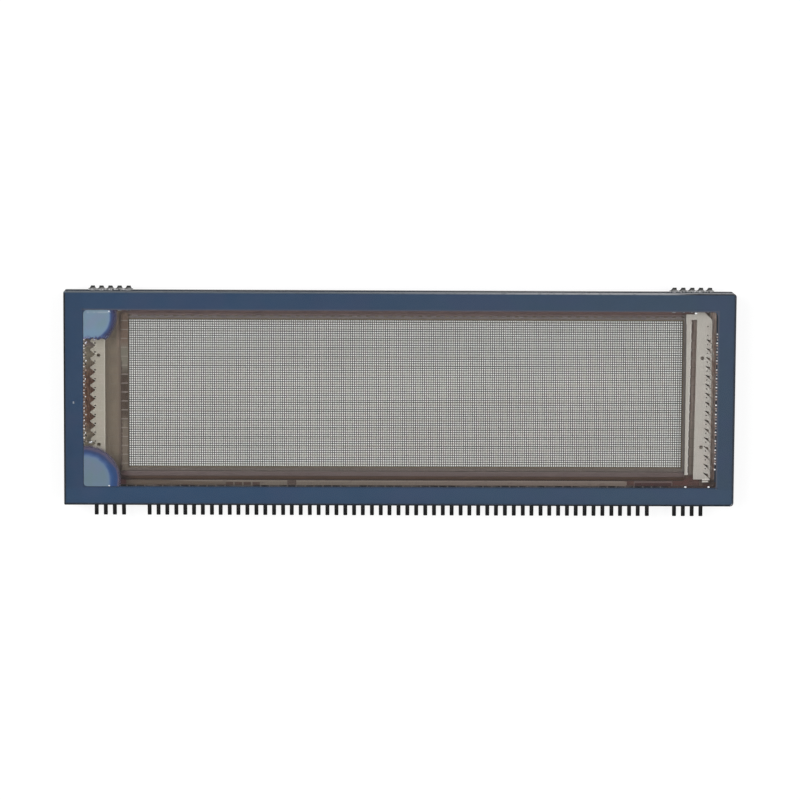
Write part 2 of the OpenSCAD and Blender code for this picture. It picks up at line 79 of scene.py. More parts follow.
# Counts and sizes as in the CAD source, in millimetres
DOT_COLS, DOT_ROWS, DOT_GAP = 253, 64, 0.2
LEAD_PITCH, LEAD_W, MAIN_SHIFT = 2.54, 1.05, -0.2
MAIN_LAST, SIDE_FIRST, SIDE_LAST = 28, 31, 34
STUB_COUNT, STUB_LAST, STUB_SHIFT = 5, 34.5, 0.4
FIL_TOP, FIL_PITCH, FIL_COUNT = 21.85, 2.55, 17
PORT_HOLE, PORT_RECESS = 1.0, 3.5

# Inner edge of the front seal, which is not quite square to the panes
SEAL_L, SEAL_R, SEAL_B, SEAL_T = -89.73, 90.25, -25.24, 25.07

# Centres of the two mirror films, and the level at which the upper one ends above the anchor plate
UPPER_FILM, UPPER_FLOOR = (-89.0, 23.2), 16.8
LOWER_FILM = (-89.3, -23.55)

# Panes: corner radii from the lower left, bevel, and overlap with the layers fused to them
CORNERS = (0.3, 1.0, 0.9, 0.3)
BEVEL = 0.35
SINK = 0.02


def fil_y(n):
    return FIL_TOP - n * FIL_PITCH


def scaled(colour, factor):
    return tuple(v * factor for v in colour)


# Shader tools
class Shader:
    """A material's node tree, built from short calls. Lengths are in millimetres."""

    def __init__(self, name):
        self.material = bpy.data.materials.new(name)
        self.material.use_nodes = True
        self.tree = self.material.node_tree
        self.tree.nodes.clear()
        self.output = self.tree.nodes.new("ShaderNodeOutputMaterial")
        self.place = None
        self.base = None

    def put(self, socket, value):
        if isinstance(value, bpy.types.NodeSocket):
            self.tree.links.new(value, socket)
        elif isinstance(value, tuple) and len(value) == 3 and socket.type == "RGBA":
            socket.default_value = (*value, 1.0)
        else:
            socket.default_value = value

    def node(self, kind, settings=None, inputs=None):
        made = self.tree.nodes.new("ShaderNode" + kind)
        for key, value in (settings or {}).items():
            setattr(made, key, value)
        for key, value in (inputs or {}).items():
            self.put(made.inputs[key], value)
        return made

    def mm(self, stretch=(1, 1, 1)):
        """Place in the row frame in millimetres, squeezed by a factor along each axis."""
        source = self.node("TexCoord").outputs["Object"]
        factors = tuple(s / MM for s in stretch)
        return self.node("VectorMath", {"operation": "MULTIPLY"}, {0: source, 1: factors}).outputs[0]

    def axis(self, name):
        if self.place is None:
            self.place = self.node("SeparateXYZ", None, {0: self.mm()})
        return self.place.outputs[name]

    def math(self, operation, a, b=0.0):
        return self.node("Math", {"operation": operation}, {0: a, 1: b}).outputs[0]

    def times(self, a, b):
        return self.math("MULTIPLY", a, b)

    def less(self, a, b):
        return self.math("SUBTRACT", a, b)

    def most(self, a, b):
        return self.math("MAXIMUM", a, b)

    def off(self, value, middle):
        """How far a value is from a middle value."""
        return self.math("ABSOLUTE", self.less(value, middle))

    def between(self, value, low, high, amount=1.0, rest=0.0):
        """Smooth step from rest to amount, while the value goes from low to high."""
        made = self.node("MapRange", {"interpolation_type": "SMOOTHSTEP"}, {
            "Value": value, "From Min": low, "From Max": high, "To Min": rest, "To Max": amount})
        return made.outputs[0]

    def along(self, axis, low, high, amount=1.0, rest=0.0):
        """Smooth step along an axis."""
        return self.between(self.axis(axis), low, high, amount, rest)

    def inside(self, left, right, low, high, soft=0.08):
        """Mask that is 1 inside a rectangle of the plan."""
        off_x = self.less(self.off(self.axis("X"), (left + right) / 2), (right - left) / 2)
        off_y = self.less(self.off(self.axis("Y"), (low + high) / 2), (high - low) / 2)
        return self.between(self.most(off_x, off_y), soft, -soft)

    def from_row(self, axis, first, pitch):
        """Distance along an axis from the nearest of a row of even places."""
        place = self.math("DIVIDE", self.less(self.axis(axis), first), pitch)
        part = self.math("FRACT", self.math("ADD", place, 0.5))
        return self.times(self.off(part, 0.5), pitch)

    def from_lead(self):
        """Distance along X from the nearest lead of the main row."""
        return self.from_row("X", MAIN_SHIFT, LEAD_PITCH)

    def from_wire(self, shift=0.0):
        """Distance along Y from the nearest filament, or from lines shifted up from the filaments."""
        return self.from_row("Y", FIL_TOP + shift, FIL_PITCH)

    def past_line(self, at_zero, lean):
        """Distance along X past a nearly upright line, from its place at Y = 0 and its lean."""
        return self.less(self.axis("X"), self.math("ADD", self.times(self.axis("Y"), lean), at_zero))

    def noise(self, scale, detail=2.0, stretch=(1, 1, 1), roughness=0.5, distortion=0.0):
        return self.node("TexNoise", None, {
            "Vector": self.mm(stretch), "Scale": scale, "Detail": detail, "Roughness": roughness,
            "Distortion": distortion}).outputs[0]

    def ramp(self, value, stops):
        made = self.node("ValToRGB", None, {0: value})
        elements = made.color_ramp.elements
        while len(elements) < len(stops):
            elements.new(0.5)
        for element, (place, colour) in zip(elements, stops):
            element.position = place
            element.color = (*colour, 1.0)
        return made.outputs[0]

    def two_tone(self, value, low, high, start=0.3, end=0.7):
        """Colour that runs from low to high, while the value goes from start to end."""
        return self.ramp(value, [(start, low), (end, high)])

    def mix(self, factor, a, b):
        made = self.node("Mix", {"data_type": "RGBA", "clamp_factor": True}, {0: factor, 6: a, 7: b})
        return made.outputs[2]

    def bump(self, height, depth):
        """Depth of the relief in millimetres."""
        made = self.node("Bump", None, {"Height": height, "Distance": depth * MM, "Strength": 1.0})
        return made.outputs[0]

    def principled(self, colour, roughness, normal=None, **sockets):
        inputs = {"Base Color": colour, "Roughness": roughness}
        inputs.update({key.replace("_", " "): value for key, value in sockets.items()})
        if normal is not None:
            inputs["Normal"] = normal
        return self.node("BsdfPrincipled", None, inputs).outputs[0]

    def paint(self, factor, colour):
        """Lays a colour over the base colour."""
        self.base = self.mix(factor, self.base, colour)

    def skin(self, roughness, normal=None, **sockets):
        """Finishes the material with its base colour."""
        return self.done(self.principled(self.base, roughness, normal, **sockets))

    def done(self, surface):
        self.put(self.output.inputs["Surface"], surface)
        return self.material

    def lets_light_in(self, surface):
        """Glass that lamps and bounced light pass straight through."""
        path = self.node("LightPath")
        for ray in ("Is Shadow Ray", "Is Diffuse Ray"):
            clear = self.node("BsdfTransparent").outputs[0]
            surface = self.node("MixShader", None, {0: path.outputs[ray], 1: surface, 2: clear}).outputs[0]
        return surface


# Materials of the envelope
def clear_glass():
    s = Shader("clear_pane_glass")
    tint = s.two_tone(s.noise(0.03, 2), (0.965, 0.985, 0.98), (0.985, 0.99, 0.99))
    glass = s.principled(tint, 0.0, Transmission_Weight=1.0, IOR=1.5)
    return s.done(s.lets_light_in(glass))


def ground_glass():
    """Ground edges: painted shade makes the bevel dark at the left and below; a painted highlight makes the
    upper side paler, most at the right.
    """
    s = Shader("ground_glass_edge")
    grain = s.noise(9.0, 3)
    # Painted shade: the dark colour left on the bevel at the left and below.
    s.base = s.two_tone(grain, (0.004, 0.005, 0.007), (0.009, 0.011, 0.014))
    right_end = s.along("X", EDGE_X - 0.65, EDGE_X - 0.35)
    s.paint(right_end, (0.045, 0.055, 0.072))
    below_bevel = s.along("Z", FACE_Z - 0.28, FACE_Z - 0.38)
    s.paint(below_bevel, s.two_tone(grain, (0.075, 0.092, 0.09), (0.14, 0.165, 0.16)))
    along = s.along("X", -30.0, 62.0)
    chip = s.between(s.noise(0.7, 3, (1, 1, 2)), 0.5, 0.7)
    # Painted highlight on the upper bevel, paler towards the right.
    slope = s.mix(along, (0.095, 0.12, 0.15), (0.3, 0.31, 0.33))
    slope = s.mix(s.times(chip, 0.45), slope, (0.06, 0.078, 0.098))
    slope = s.mix(s.along("X", 76.0, 84.0, 0.9), slope, (0.01, 0.012, 0.017))
    s.paint(s.along("Y", EDGE_Y - 0.49, EDGE_Y - 0.39), slope)
    # Painted highlight on the upper side wall, paler towards the right and less bright on the rear pane.
    wall = s.mix(along, (0.15, 0.162, 0.172), (0.52, 0.52, 0.53))
    wall = s.mix(s.times(chip, 0.5), wall, (0.2, 0.2, 0.2))
    rear = s.mix(along, (0.108, 0.112, 0.113), (0.27, 0.265, 0.26))
    rear = s.mix(s.times(chip, 0.5), rear, (0.062, 0.062, 0.06))
    wall = s.mix(s.along("Z", 4.0, 3.0), wall, rear)
    s.paint(s.along("Y", EDGE_Y - 0.032, EDGE_Y - 0.007), wall)
    rough = s.between(grain, 0.3, 0.7, 0.6, 0.4)
    surface = s.principled(s.base, rough, s.bump(grain, 0.01), Specular_IOR_Level=0.05)
    return s.done(s.lets_light_in(surface))


def spacer_glass():
    s = Shader("spacer_strip_glass")
    grain = s.noise(1.2, 4, (0.3, 0.3, 3))
    tint = s.two_tone(grain, (0.1, 0.125, 0.125), (0.22, 0.26, 0.255))
    return s.done(s.principled(tint, 0.32, s.bump(grain, 0.03), Transmission_Weight=0.35, IOR=1.5))


def seal_frit():
    """Front sealing glass, with a dark rim, a painted highlight on the inner edge at the right and top,
    painted shade on the inner edge at the left and bottom, and one pale chip at the left with painted shade
    beside it.
    """
    s = Shader("front_seal_frit")
    x, y = s.axis("X"), s.axis("Y")
    s.base = s.mix(s.along("X", -80.0, 95.0), (0.0175, 0.05, 0.11), (0.033, 0.06, 0.099))
    cloud = s.between(s.noise(0.12, 3), 0.3, 0.7, 0.3)
    s.paint(cloud, (0.036, 0.066, 0.122))
    hue = s.between(s.noise(0.07, 2, (1, 1.6, 1)), 0.45, 0.65, 0.35)
    s.paint(hue, (0.036, 0.052, 0.112))
    speck = s.between(s.noise(3.2, 1), 0.76, 0.82, 0.3)
    s.paint(speck, (0.13, 0.16, 0.2))
    past_edge = s.most(s.less(s.math("ABSOLUTE", x), EDGE_X), s.less(s.math("ABSOLUTE", y), EDGE_Y))
    s.paint(s.between(past_edge, -0.6, -0.36), (0.022, 0.03, 0.044))
    near = s.inside(SEAL_L - 0.5, SEAL_R + 0.7, SEAL_B - 0.5, SEAL_T + 0.7, 0.1)
    # Painted highlight along the inner edge at the right and top.
    high = s.most(s.less(x, SEAL_R), s.less(y, SEAL_T))
    pale = s.times(s.between(high, 0.6, 0.05, 0.75), s.between(high, -0.1, 0.0))
    s.paint(s.times(pale, near), (0.088, 0.086, 0.108))
    # Painted shade along the inner edge at the left and bottom.
    low = s.most(s.less(SEAL_L, x), s.less(SEAL_B, y))
    dark = s.times(s.between(low, 0.45, 0.1, 0.65), s.between(low, -0.1, 0.0))
    s.paint(s.times(dark, near), (0.015, 0.027, 0.05))
    s.paint(s.along("X", -89.6, -91.0, 0.07), (0.0, 0.0, 0.0))
    s.paint(s.along("Y", -25.3, -26.3, 0.12), (0.03, 0.095, 0.2))
    chip = s.inside(-92.74, -92.38, -1.58, -1.02, 0.14)
    s.paint(chip, (0.32, 0.36, 0.41))
    chip_shade = s.inside(-92.4, -92.22, -1.3, -1.05, 0.12)
    s.paint(chip_shade, (0.01, 0.014, 0.022))
    return s.skin(0.42, s.bump(s.noise(14.0, 2), 0.004), Specular_IOR_Level=0.3)


def lower_frit():
    """Sealing glass on the rear pane; between the leads it shows paler at the inner edge."""
    s = Shader("rear_seal_frit")
    s.base = s.two_tone(s.noise(0.4, 3), (0.03, 0.048, 0.08), (0.045, 0.064, 0.096))
    # Painted highlight on the upper side wall, paler towards the right.
    wall = s.mix(s.along("X", -60.0, 60.0), (0.095, 0.096, 0.094), (0.23, 0.23, 0.225))
    s.paint(s.along("Y", EDGE_Y - 0.192, EDGE_Y - 0.112), wall)
    broken = s.between(s.noise(0.12, 1, (1, 0, 0)), 0.42, 0.55, 1.0, 0.3)
    paste_at = s.times(s.between(s.from_lead(), 1.12, 0.98), broken)
    inner = s.mix(paste_at, (0.115, 0.098, 0.09), (0.012, 0.01, 0.011))
    inner = s.mix(s.along("X", 75.5, 77.5, 0.85), inner, (0.062, 0.032, 0.027))
    s.paint(s.along("Y", -26.2, -26.0), inner)
    s.paint(s.along("Y", -24.0, -23.9), (0.034, 0.05, 0.08))
    return s.skin(0.5, Specular_IOR_Level=0.2)


# Materials of the layers printed on the rear pane
def insulation_right(s, wave):
    """Wavy red-brown band between the spring frame and the seal, with a dark line along it; the band is
    lightened well past its own colour as painted light against the shade there.
    """
    # Lightened well past its own colour, as painted light against the shade.
    band = s.ramp(wave, [
        (0.34, (0.5, 0.285, 0.215)), (0.5, (0.94, 0.71, 0.605)), (0.64, (1.0, 0.89, 0.8))])
    line = s.between(s.past_line(89.46, 0.027), -0.25, 0.0, 0.55)
    return s.mix(line, band, (0.26, 0.155, 0.12))


def insulation_left(s):
    """Streaky rust between the anchor plate's teeth, paler at both ends, with painted shade at the tooth
    roots; its colours are raised as painted light against the shade between the teeth.
    """
    # Colours raised as painted light against the shade between the teeth.
    rust = s.ramp(s.noise(0.7, 4, (4, 0.5, 1), 0.6, 0.8), [
        (0.28, (0.136, 0.058, 0.036)), (0.5, (0.328, 0.163, 0.099)), (0.72, (0.528, 0.33, 0.23))])
    ends = s.between(s.off(s.axis("Y"), -0.5), 6.0, 12.0, 0.8)
    end_tone = s.mix(s.along("Y", 13.6, 15.2), (0.61, 0.54, 0.4), (0.6, 0.48, 0.44))
    # Painted shade at the tooth roots.
    root = s.times(s.between(s.from_wire(0.65), 0.36, 0.16), s.inside(-87.1, -86.1, -14.0, 17.0, 0.25))
    root = s.times(root, s.between(ends, 0.8, 0.2, 1.0, 0.55))
    return s.mix(root, s.mix(ends, rust, end_tone), (0.03, 0.02, 0.017))


def insulation_slot(s, wave):
    """Floor of the slot beside the support strip, lightened as painted light against its shade: lightest in
    the middle, with painted shade beside both edges.
    """
    # Lightened as painted light against the slot's shade.
    floor = s.two_tone(wave, (0.38, 0.255, 0.21), (0.615, 0.5, 0.435), 0.35, 0.6)
    middle = s.past_line(83.58, 0.0137)
    light = s.between(s.math("ABSOLUTE", middle), 0.32, 0.1, 0.35)
    floor = s.mix(light, floor, (0.72, 0.6, 0.53))
    # Painted shade beside the spring plate and, darker, beside the support strip.
    floor = s.mix(s.between(middle, 0.18, 0.36, 0.4), floor, (0.22, 0.16, 0.13))
    floor = s.mix(s.between(middle, -0.28, -0.55, 0.75), floor, (0.12, 0.09, 0.076))
    return s.mix(s.along("Y", -5.0, -12.0, 0.45), floor, (0.32, 0.28, 0.225))


def insulation_bottom(s):
    """Dark strip along the lower seal, rusty at the right, with a red corner at the right, red painted shade
    at the left end of the cover, and the end of the tan print.
    """
    streak = s.noise(1.4, 3, (0.4, 2, 1), 0.6)
    dark = s.two_tone(streak, (0.06, 0.036, 0.03), (0.13, 0.092, 0.076))
    s.paint(s.along("Y", -22.6, -24.0), dark)
    rust = s.two_tone(streak, (0.062, 0.026, 0.021), (0.125, 0.062, 0.05))
    s.paint(s.inside(63.6, 88.9, -25.4, -22.9, 0.4), rust)
    red = s.most(s.inside(78.4, 82.6, -25.3, -23.4, 0.4), s.inside(80.9, 84.4, -23.4, -21.9, 0.5))
    s.paint(s.times(red, s.between(streak, 0.3, 0.6, 0.9, 0.4)), (0.105, 0.042, 0.034))
    # Red painted shade at the left end of the cover.
    red_shade_left = s.times(s.inside(-81.6, -77.9, -25.4, -23.0, 0.5), 0.8)
    s.paint(red_shade_left, (0.11, 0.028, 0.033))
    tan = s.inside(TAN_END - 0.1, TAN_END + 0.5, -25.4, -23.9, 0.06)
    s.paint(tan, (0.215, 0.166, 0.14))


def insulation():
    """Printed layer under everything inside the window, with painted light and painted shade in some zones.
    """
    s = Shader("printed_insulation")
    grain = s.noise(7.0, 2)
    wave = s.noise(0.5, 3, (2.4, 0.35, 1), 0.6, 1.2)
    s.base = s.two_tone(s.noise(0.35, 3), (0.164, 0.129, 0.092), (0.201, 0.16, 0.114))
    s.paint(s.between(grain, 0.5, 0.7, 0.3), (0.131, 0.101, 0.073))
    top = s.two_tone(s.noise(1.3, 3, (0.3, 2.5, 1)), (0.169, 0.109, 0.106), (0.254, 0.166, 0.155))
    top = s.mix(s.along("X", 20.0, 60.0, 0.5), top, (0.235, 0.128, 0.116))
    s.paint(s.along("Y", 23.9, 24.1), top)
    s.paint(s.along("X", 87.9, 88.5), insulation_right(s, wave))
    s.paint(s.along("X", -85.2, -85.6), insulation_left(s))
    # Painted shade on the floor seen through the anchor plate's holes.
    for low in (11.25, -14.25):
        painted_shade_in_plate_hole = s.inside(-86.3, -84.8, low, low + 1.5, 0.3)
        s.paint(painted_shade_in_plate_hole, (0.225, 0.175, 0.11))
    s.paint(s.inside(82.5, 84.7, -22.6, 24.0, 0.15), insulation_slot(s, wave))
    # Painted light under the spring frame, against its shade.
    painted_light_under_frame = s.inside(85.0, 86.8, -15.0, 13.0, 0.15)
    s.paint(painted_light_under_frame, (0.42, 0.35, 0.29))
    # Painted light beside the anchor plate, against the plate's shadow.
    painted_light_beside_anchor = s.inside(-84.4, -82.6, -21.0, 24.0, 0.6)
    s.paint(painted_light_beside_anchor, (0.255, 0.205, 0.15))
    # Painted light beside the grid foil's edge, against its shadow.
    painted_light_beside_grid = s.inside(-80.3, -77.2, -21.0, 24.0, 0.5)
    s.paint(painted_light_beside_grid, (0.206, 0.156, 0.117))
    # Painted light in the upper corner beside the grid, against the upper film's shadow.
    corner = s.times(s.inside(-80.4, -78.9, -21.0, 25.0, 0.5), s.along("Y", 12.5, 18.5))
    s.paint(corner, (0.33, 0.238, 0.185))
    insulation_bottom(s)
    return s.skin(0.62, s.bump(grain, 0.01), Specular_IOR_Level=0.3)


def paste():
    s = Shader("conductive_paste")
    grain = s.noise(8.0, 3)
    s.base = s.two_tone(grain, (0.05, 0.034, 0.028), (0.105, 0.075, 0.062))
    return s.skin(0.55, s.bump(grain, 0.02), Metallic=0.2)


def wiring_film():
    """Tan field with the dark paste of some leads showing through windows in it."""
    s = Shader("wiring_film")
    lines_to_a_lead = 6
    place = s.math("FRACT", s.math("DIVIDE", s.axis("X"), LEAD_PITCH / lines_to_a_lead))
    line = s.between(s.off(place, 0.5), 0.18, 0.3)
    s.base = s.mix(line, (0.207, 0.167, 0.133), (0.173, 0.136, 0.105))
    s.paint(s.along("X", -20.0, 30.0, 0.45), (0.218, 0.158, 0.137))
    s.paint(s.along("X", -36.0, -60.0, 0.9), (0.12, 0.082, 0.056))
    # Painted highlight along the upper edge of the tan field.
    lit = s.times(s.along("Y", -24.24, -24.06, 0.75), s.along("X", -67.0, -58.0))
    s.paint(lit, (0.29, 0.234, 0.197))
    blot = s.between(s.noise(0.5, 2, (1, 2.2, 1), 0.5, 0.6), 0.6, 0.68, 0.35)
    s.paint(blot, (0.12, 0.08, 0.066))
    brown = (0.075, 0.04, 0.03)
    paste_at = s.between(s.from_lead(), 1.08, 0.98)
    s.paint(s.times(paste_at, s.inside(-49.5, -39.5, -26.0, -24.33)), brown)
    for left, right in ((-69.9, -67.4), (-62.2, -59.6), (-52.1, -49.5)):
        s.paint(s.times(s.inside(left, right, -26.0, -25.02), 0.85), brown)
    return s.skin(0.5, s.bump(s.noise(9.0, 2), 0.01), Metallic=0.15)


def bar_film():
    """Dark red bar with a paler line along its upper side and its ends."""
    s = Shader("bar_film")
    grain = s.noise(5.0, 3)
    s.base = s.two_tone(grain, (0.038, 0.01, 0.009), (0.058, 0.018, 0.016))
    left, bottom = low_of("bar_field").xy
    right, top = high_of("bar_field").xy
    core = s.inside(left + 0.2, right - 0.2, bottom - 0.5, top - 0.4, 0.08)
    s.base = s.mix(core, (0.15, 0.098, 0.088), s.base)
    return s.skin(0.5, s.bump(grain, 0.01))


def phosphor(name, low, high):
    s = Shader(name)
    grain = s.noise(6.0, 3)
    s.base = s.two_tone(grain, low, high, 0.25, 0.75)
    cloud = s.between(s.noise(0.05, 3), 0.3, 0.7, 0.14)
    s.paint(cloud, scaled(low, 0.72))
    return s.skin(0.8, s.bump(grain, 0.02), Specular_IOR_Level=0.2)


# Materials of the metal pieces
def grid_side(s):
    """Left side of the foil, whose shade changes downwards, with the filaments' light on it."""
    side = s.ramp(s.noise(0.22, 3, (0.3, 1, 1)), [
        (0.35, (0.044, 0.026, 0.017)), (0.5, (0.058, 0.036, 0.023)), (0.65, (0.075, 0.051, 0.034))])
    side = s.mix(s.along("Y", 5.8, 9.8), side, (0.18, 0.16, 0.122))
    side = s.mix(s.along("Y", 13.5, 16.5), side, (0.162, 0.106, 0.075))
    side = s.mix(s.along("Y", -3.8, -8.0), side, (0.167, 0.132, 0.098))
    side = s.mix(s.between(s.from_wire(), 0.2, 0.08, 0.85), side, (0.3, 0.252, 0.222))
    uneven_x = s.math("ADD", s.axis("X"), s.between(s.noise(1.2, 2), 0.3, 0.7, 0.15, -0.15))
    border = s.times(s.between(uneven_x, -78.85, -79.1, 0.8), s.along("Y", 13.0, 8.0, 1.0, 0.05))
    return s.mix(border, side, (0.06, 0.034, 0.026))


def grid_foil():
    """Etched foil round and over the dots."""
    s = Shader("etched_grid_foil")
    streak = s.noise(1.6, 4, (3, 0.5, 1))
    s.base = s.two_tone(streak, (0.118, 0.092, 0.079), (0.163, 0.134, 0.117))
    cloud = s.noise(1.3, 3, (0.3, 2.5, 1))
    upper = s.two_tone(cloud, (0.137, 0.111, 0.108), (0.208, 0.178, 0.17))
    s.paint(s.along("Y", 22.3, 22.6), upper)
    top = s.two_tone(cloud, (0.118, 0.079, 0.076), (0.185, 0.124, 0.116))
    s.paint(s.along("Y", 23.4, 23.6), top)
    s.paint(s.along("X", -76.9, -77.05), grid_side(s))
    # Painted light on the right edge of the foil, against the shade beside the support strip.
    s.paint(s.along("X", 80.3, 80.6, 0.8), (0.209, 0.178, 0.161))
    speck = s.between(s.noise(4.0, 2), 0.62, 0.72, 0.35)
    s.paint(speck, (0.26, 0.22, 0.19))
    return s.skin(0.45, s.bump(streak, 0.01), Metallic=0.35)


def cover_sheet():
    """Folded cover: painted shadow on the lower lip, a warm slope raised in tone as painted light against its
    shade, grey upper face, redder at both ends, the left end darkened as painted shade.
    """
    s = Shader("folded_cover_sheet")
    # Painted shadow on the lower lip; the slope is raised in tone as painted light against its shade.
    s.base = s.ramp(s.along("Y", -23.75, -21.05), [
        (0.03, (0.04, 0.024, 0.017)), (0.075, (0.19, 0.104, 0.062)), (0.36, (0.204, 0.122, 0.084)),
        (0.47, (0.135, 0.094, 0.083)), (0.56, (0.14, 0.1, 0.094)), (0.94, (0.14, 0.102, 0.096)),
        (1.0, (0.17, 0.132, 0.122))])
    s.paint(s.along("X", 64.0, 80.0, 0.22), (0.085, 0.042, 0.034))
    # Painted dark red shade at the left end.
    s.paint(s.along("X", -76.0, -78.9, 0.75), (0.062, 0.024, 0.026))
    streak = s.noise(0.8, 4, (0.25, 4, 1))
    s.paint(s.between(streak, 0.35, 0.7, 0.35), (0.088, 0.06, 0.054))
    return s.skin(0.42, s.bump(streak, 0.02), Metallic=0.35)


def silicon():
    s = Shader("silicon_die")
    s.base = s.two_tone(s.noise(3.0, 2), (0.06, 0.06, 0.075), (0.1, 0.1, 0.125))
    return s.skin(0.18, Metallic=0.4)


def filament_wire():
    """Coated wire, which looks lighter where it lies over the plates and the support strip."""
    s = Shader("oxide_coated_wire")
    grain = s.noise(5.0, 3, (1, 6, 6))
    s.base = s.two_tone(grain, (0.13, 0.115, 0.095), (0.2, 0.18, 0.15))
    over = s.most(s.along("X", -83.5, -83.8), s.along("X", 84.1, 84.4))
    over = s.most(over, s.inside(81.35, 82.45, -30.0, 30.0, 0.15))
    s.paint(over, (0.5, 0.465, 0.41))
    return s.skin(0.6, s.bump(grain, 0.006))


def plate_metal():
    """Satin sheet of the anchor and the spring frame, with painted highlights on the anchor's edge, the
    support strip's edge and the lower foot, and painted shade along the support strip's edges and on the
    legs.
    """
    s = Shader("filament_plate_sheet")
    s.base = s.mix(s.along("X", -60.0, 60.0), (0.44, 0.4, 0.327), (0.527, 0.488, 0.44))
    streak = s.noise(1.1, 4, (5, 0.35, 1), 0.6)
    s.paint(s.between(streak, 0.35, 0.7, 0.22), (0.33, 0.305, 0.26))
    stain = s.between(s.noise(0.55, 3), 0.55, 0.75, 0.2)
    s.paint(stain, (0.52, 0.52, 0.465))
    pink = s.between(s.noise(0.4, 3, (1, 0.5, 1)), 0.5, 0.65, 0.22)
    s.paint(pink, (0.51, 0.42, 0.38))
    # Painted highlight along the anchor plate's right edge.
    anchor_edge_highlight = s.between(s.off(s.axis("X"), -83.85), 0.22, 0.1, 0.7)
    s.paint(anchor_edge_highlight, (0.56, 0.53, 0.45))
    # Painted highlight and painted shade along the support strip's right edge, and painted shade along its
    # left edge.
    strip = s.inside(81.0, 83.3, -23.0, 21.5, 0.02)
    nib = s.between(s.from_wire(), 0.5, 0.1, -0.1, 0.03)
    rim = s.math("ADD", s.past_line(82.6, 0.0138), nib)
    s.paint(s.times(strip, s.between(rim, -0.4, -0.25, 0.6)), (0.66, 0.62, 0.58))
    s.paint(s.times(strip, s.between(rim, -0.06, 0.03)), (0.075, 0.064, 0.056))
    s.paint(s.times(strip, s.along("X", 81.5, 81.42)), (0.15, 0.135, 0.12))
    # Painted shade on the legs and feet below the plate.
    leg_shade = s.along("Z", 4.15, 3.75, 0.85)
    s.paint(leg_shade, (0.105, 0.072, 0.056))
    # Painted highlight on the lower leg's slope.
    foot = s.inside(86.4, 88.3, -24.0, -23.0, 0.12)
    lit = s.between(s.noise(1.6, 2), 0.35, 0.5, 1.0, 0.4)
    s.paint(s.times(foot, lit), (0.95, 0.9, 0.83))
    return s.skin(0.46, s.bump(streak, 0.008), Metallic=0.35)


def getter_metal():
    s = Shader("getter_channel_sheet")
    streak = s.noise(1.5, 3, (0.4, 4, 4))
    s.base = s.two_tone(streak, (0.28, 0.28, 0.27), (0.42, 0.42, 0.41))
    return s.skin(0.4, s.bump(streak, 0.01), Metallic=0.6)


def getter_alloy():
    s = Shader("sintered_getter_rest")
    grain = s.noise(6.0, 4)
    s.base = s.two_tone(grain, (0.03, 0.029, 0.028), (0.085, 0.08, 0.075))
    return s.skin(0.85, s.bump(grain, 0.08))


def lead_metal():
    """Dark oxide, with a faint painted highlight down each lead and bare metal inside the window."""
    s = Shader("oxidised_lead_alloy")
    grain = s.noise(3.0, 3, (3, 0.5, 1))
    s.base = s.ramp(s.along("Y", LEAD_TIP, -EDGE_Y + 0.6), [
        (0.0, (0.004, 0.004, 0.0042)), (0.45, (0.009, 0.009, 0.0095)), (1.0, (0.02, 0.021, 0.022))])
    # Painted highlight along the middle of each lead, outside the glass.
    centre_highlight = s.times(s.between(s.from_lead(), 0.24, 0.05), s.along("Y", -33.0, -31.2, 0.45))
    s.paint(centre_highlight, (0.06, 0.063, 0.066))
    s.paint(s.between(grain, 0.45, 0.75, 0.35), (0.026, 0.026, 0.027))
    s.paint(s.along("Y", -25.5, -25.3), (0.115, 0.078, 0.062))
    rough = s.between(grain, 0.3, 0.7, 0.6, 0.42)
    return s.skin(rough, s.bump(grain, 0.01), Metallic=0.1, Specular_IOR_Level=0.25)


def stub_metal():
    """Cut tie bars: bright flecked root, dark tip, and painted shade on one flank of each."""
    s = Shader("cut_tie_bar_alloy")
    grain = s.noise(2.2, 4, (2, 0.8, 1), 0.6)
    up = s.along("Y", EDGE_Y - 0.1, STUB_TIP)
    s.base = s.ramp(up, [
        (0.0, (0.46, 0.46, 0.46)), (0.45, (0.36, 0.355, 0.35)), (0.7, (0.085, 0.083, 0.08)),
        (1.0, (0.014, 0.014, 0.013))])
    s.paint(s.between(grain, 0.45, 0.7, 0.5), (0.12, 0.118, 0.115))
    fleck = s.noise(1.7, 2)
    root = s.between(up, 0.42, 0.2)
    s.paint(s.times(root, s.between(fleck, 0.56, 0.62)), (0.8, 0.8, 0.82))
    s.paint(s.times(root, s.between(fleck, 0.42, 0.36)), (0.06, 0.06, 0.062))
    # Painted shade on one flank of each stub, towards its tip.
    place = s.math("FRACT", s.math("DIVIDE", s.less(s.axis("X"), STUB_SHIFT), LEAD_PITCH))
    flank = s.times(s.between(place, 0.42, 0.3), s.between(up, 0.25, 0.45, 0.8))
    s.paint(flank, (0.035, 0.034, 0.032))
    return s.skin(0.42, s.bump(grain, 0.02), Metallic=0.35)


def dark_weld():
    s = Shader("weld_mark")
    grain = s.noise(7.0, 3)
    s.base = s.two_tone(grain, (0.03, 0.025, 0.02), (0.08, 0.068, 0.056))
    return s.skin(0.5, s.bump(grain, 0.03), Metallic=0.4)


# Materials of the mirror films and the beads
def past_core(s, centre, core):
    """Distance past the pale core of a film, slightly uneven."""
    flat = s.node("CombineXYZ", None, {"X": s.axis("X"), "Y": s.axis("Y")}).outputs[0]
    off = s.node("VectorMath", {"operation": "DISTANCE"}, {0: flat, 1: (*centre, 0.0)}).outputs["Value"]
    wobble = s.between(s.noise(0.5, 3), 0.2, 0.8, 0.16, -0.16)
    return s.less(s.math("ADD", off, wobble), core)


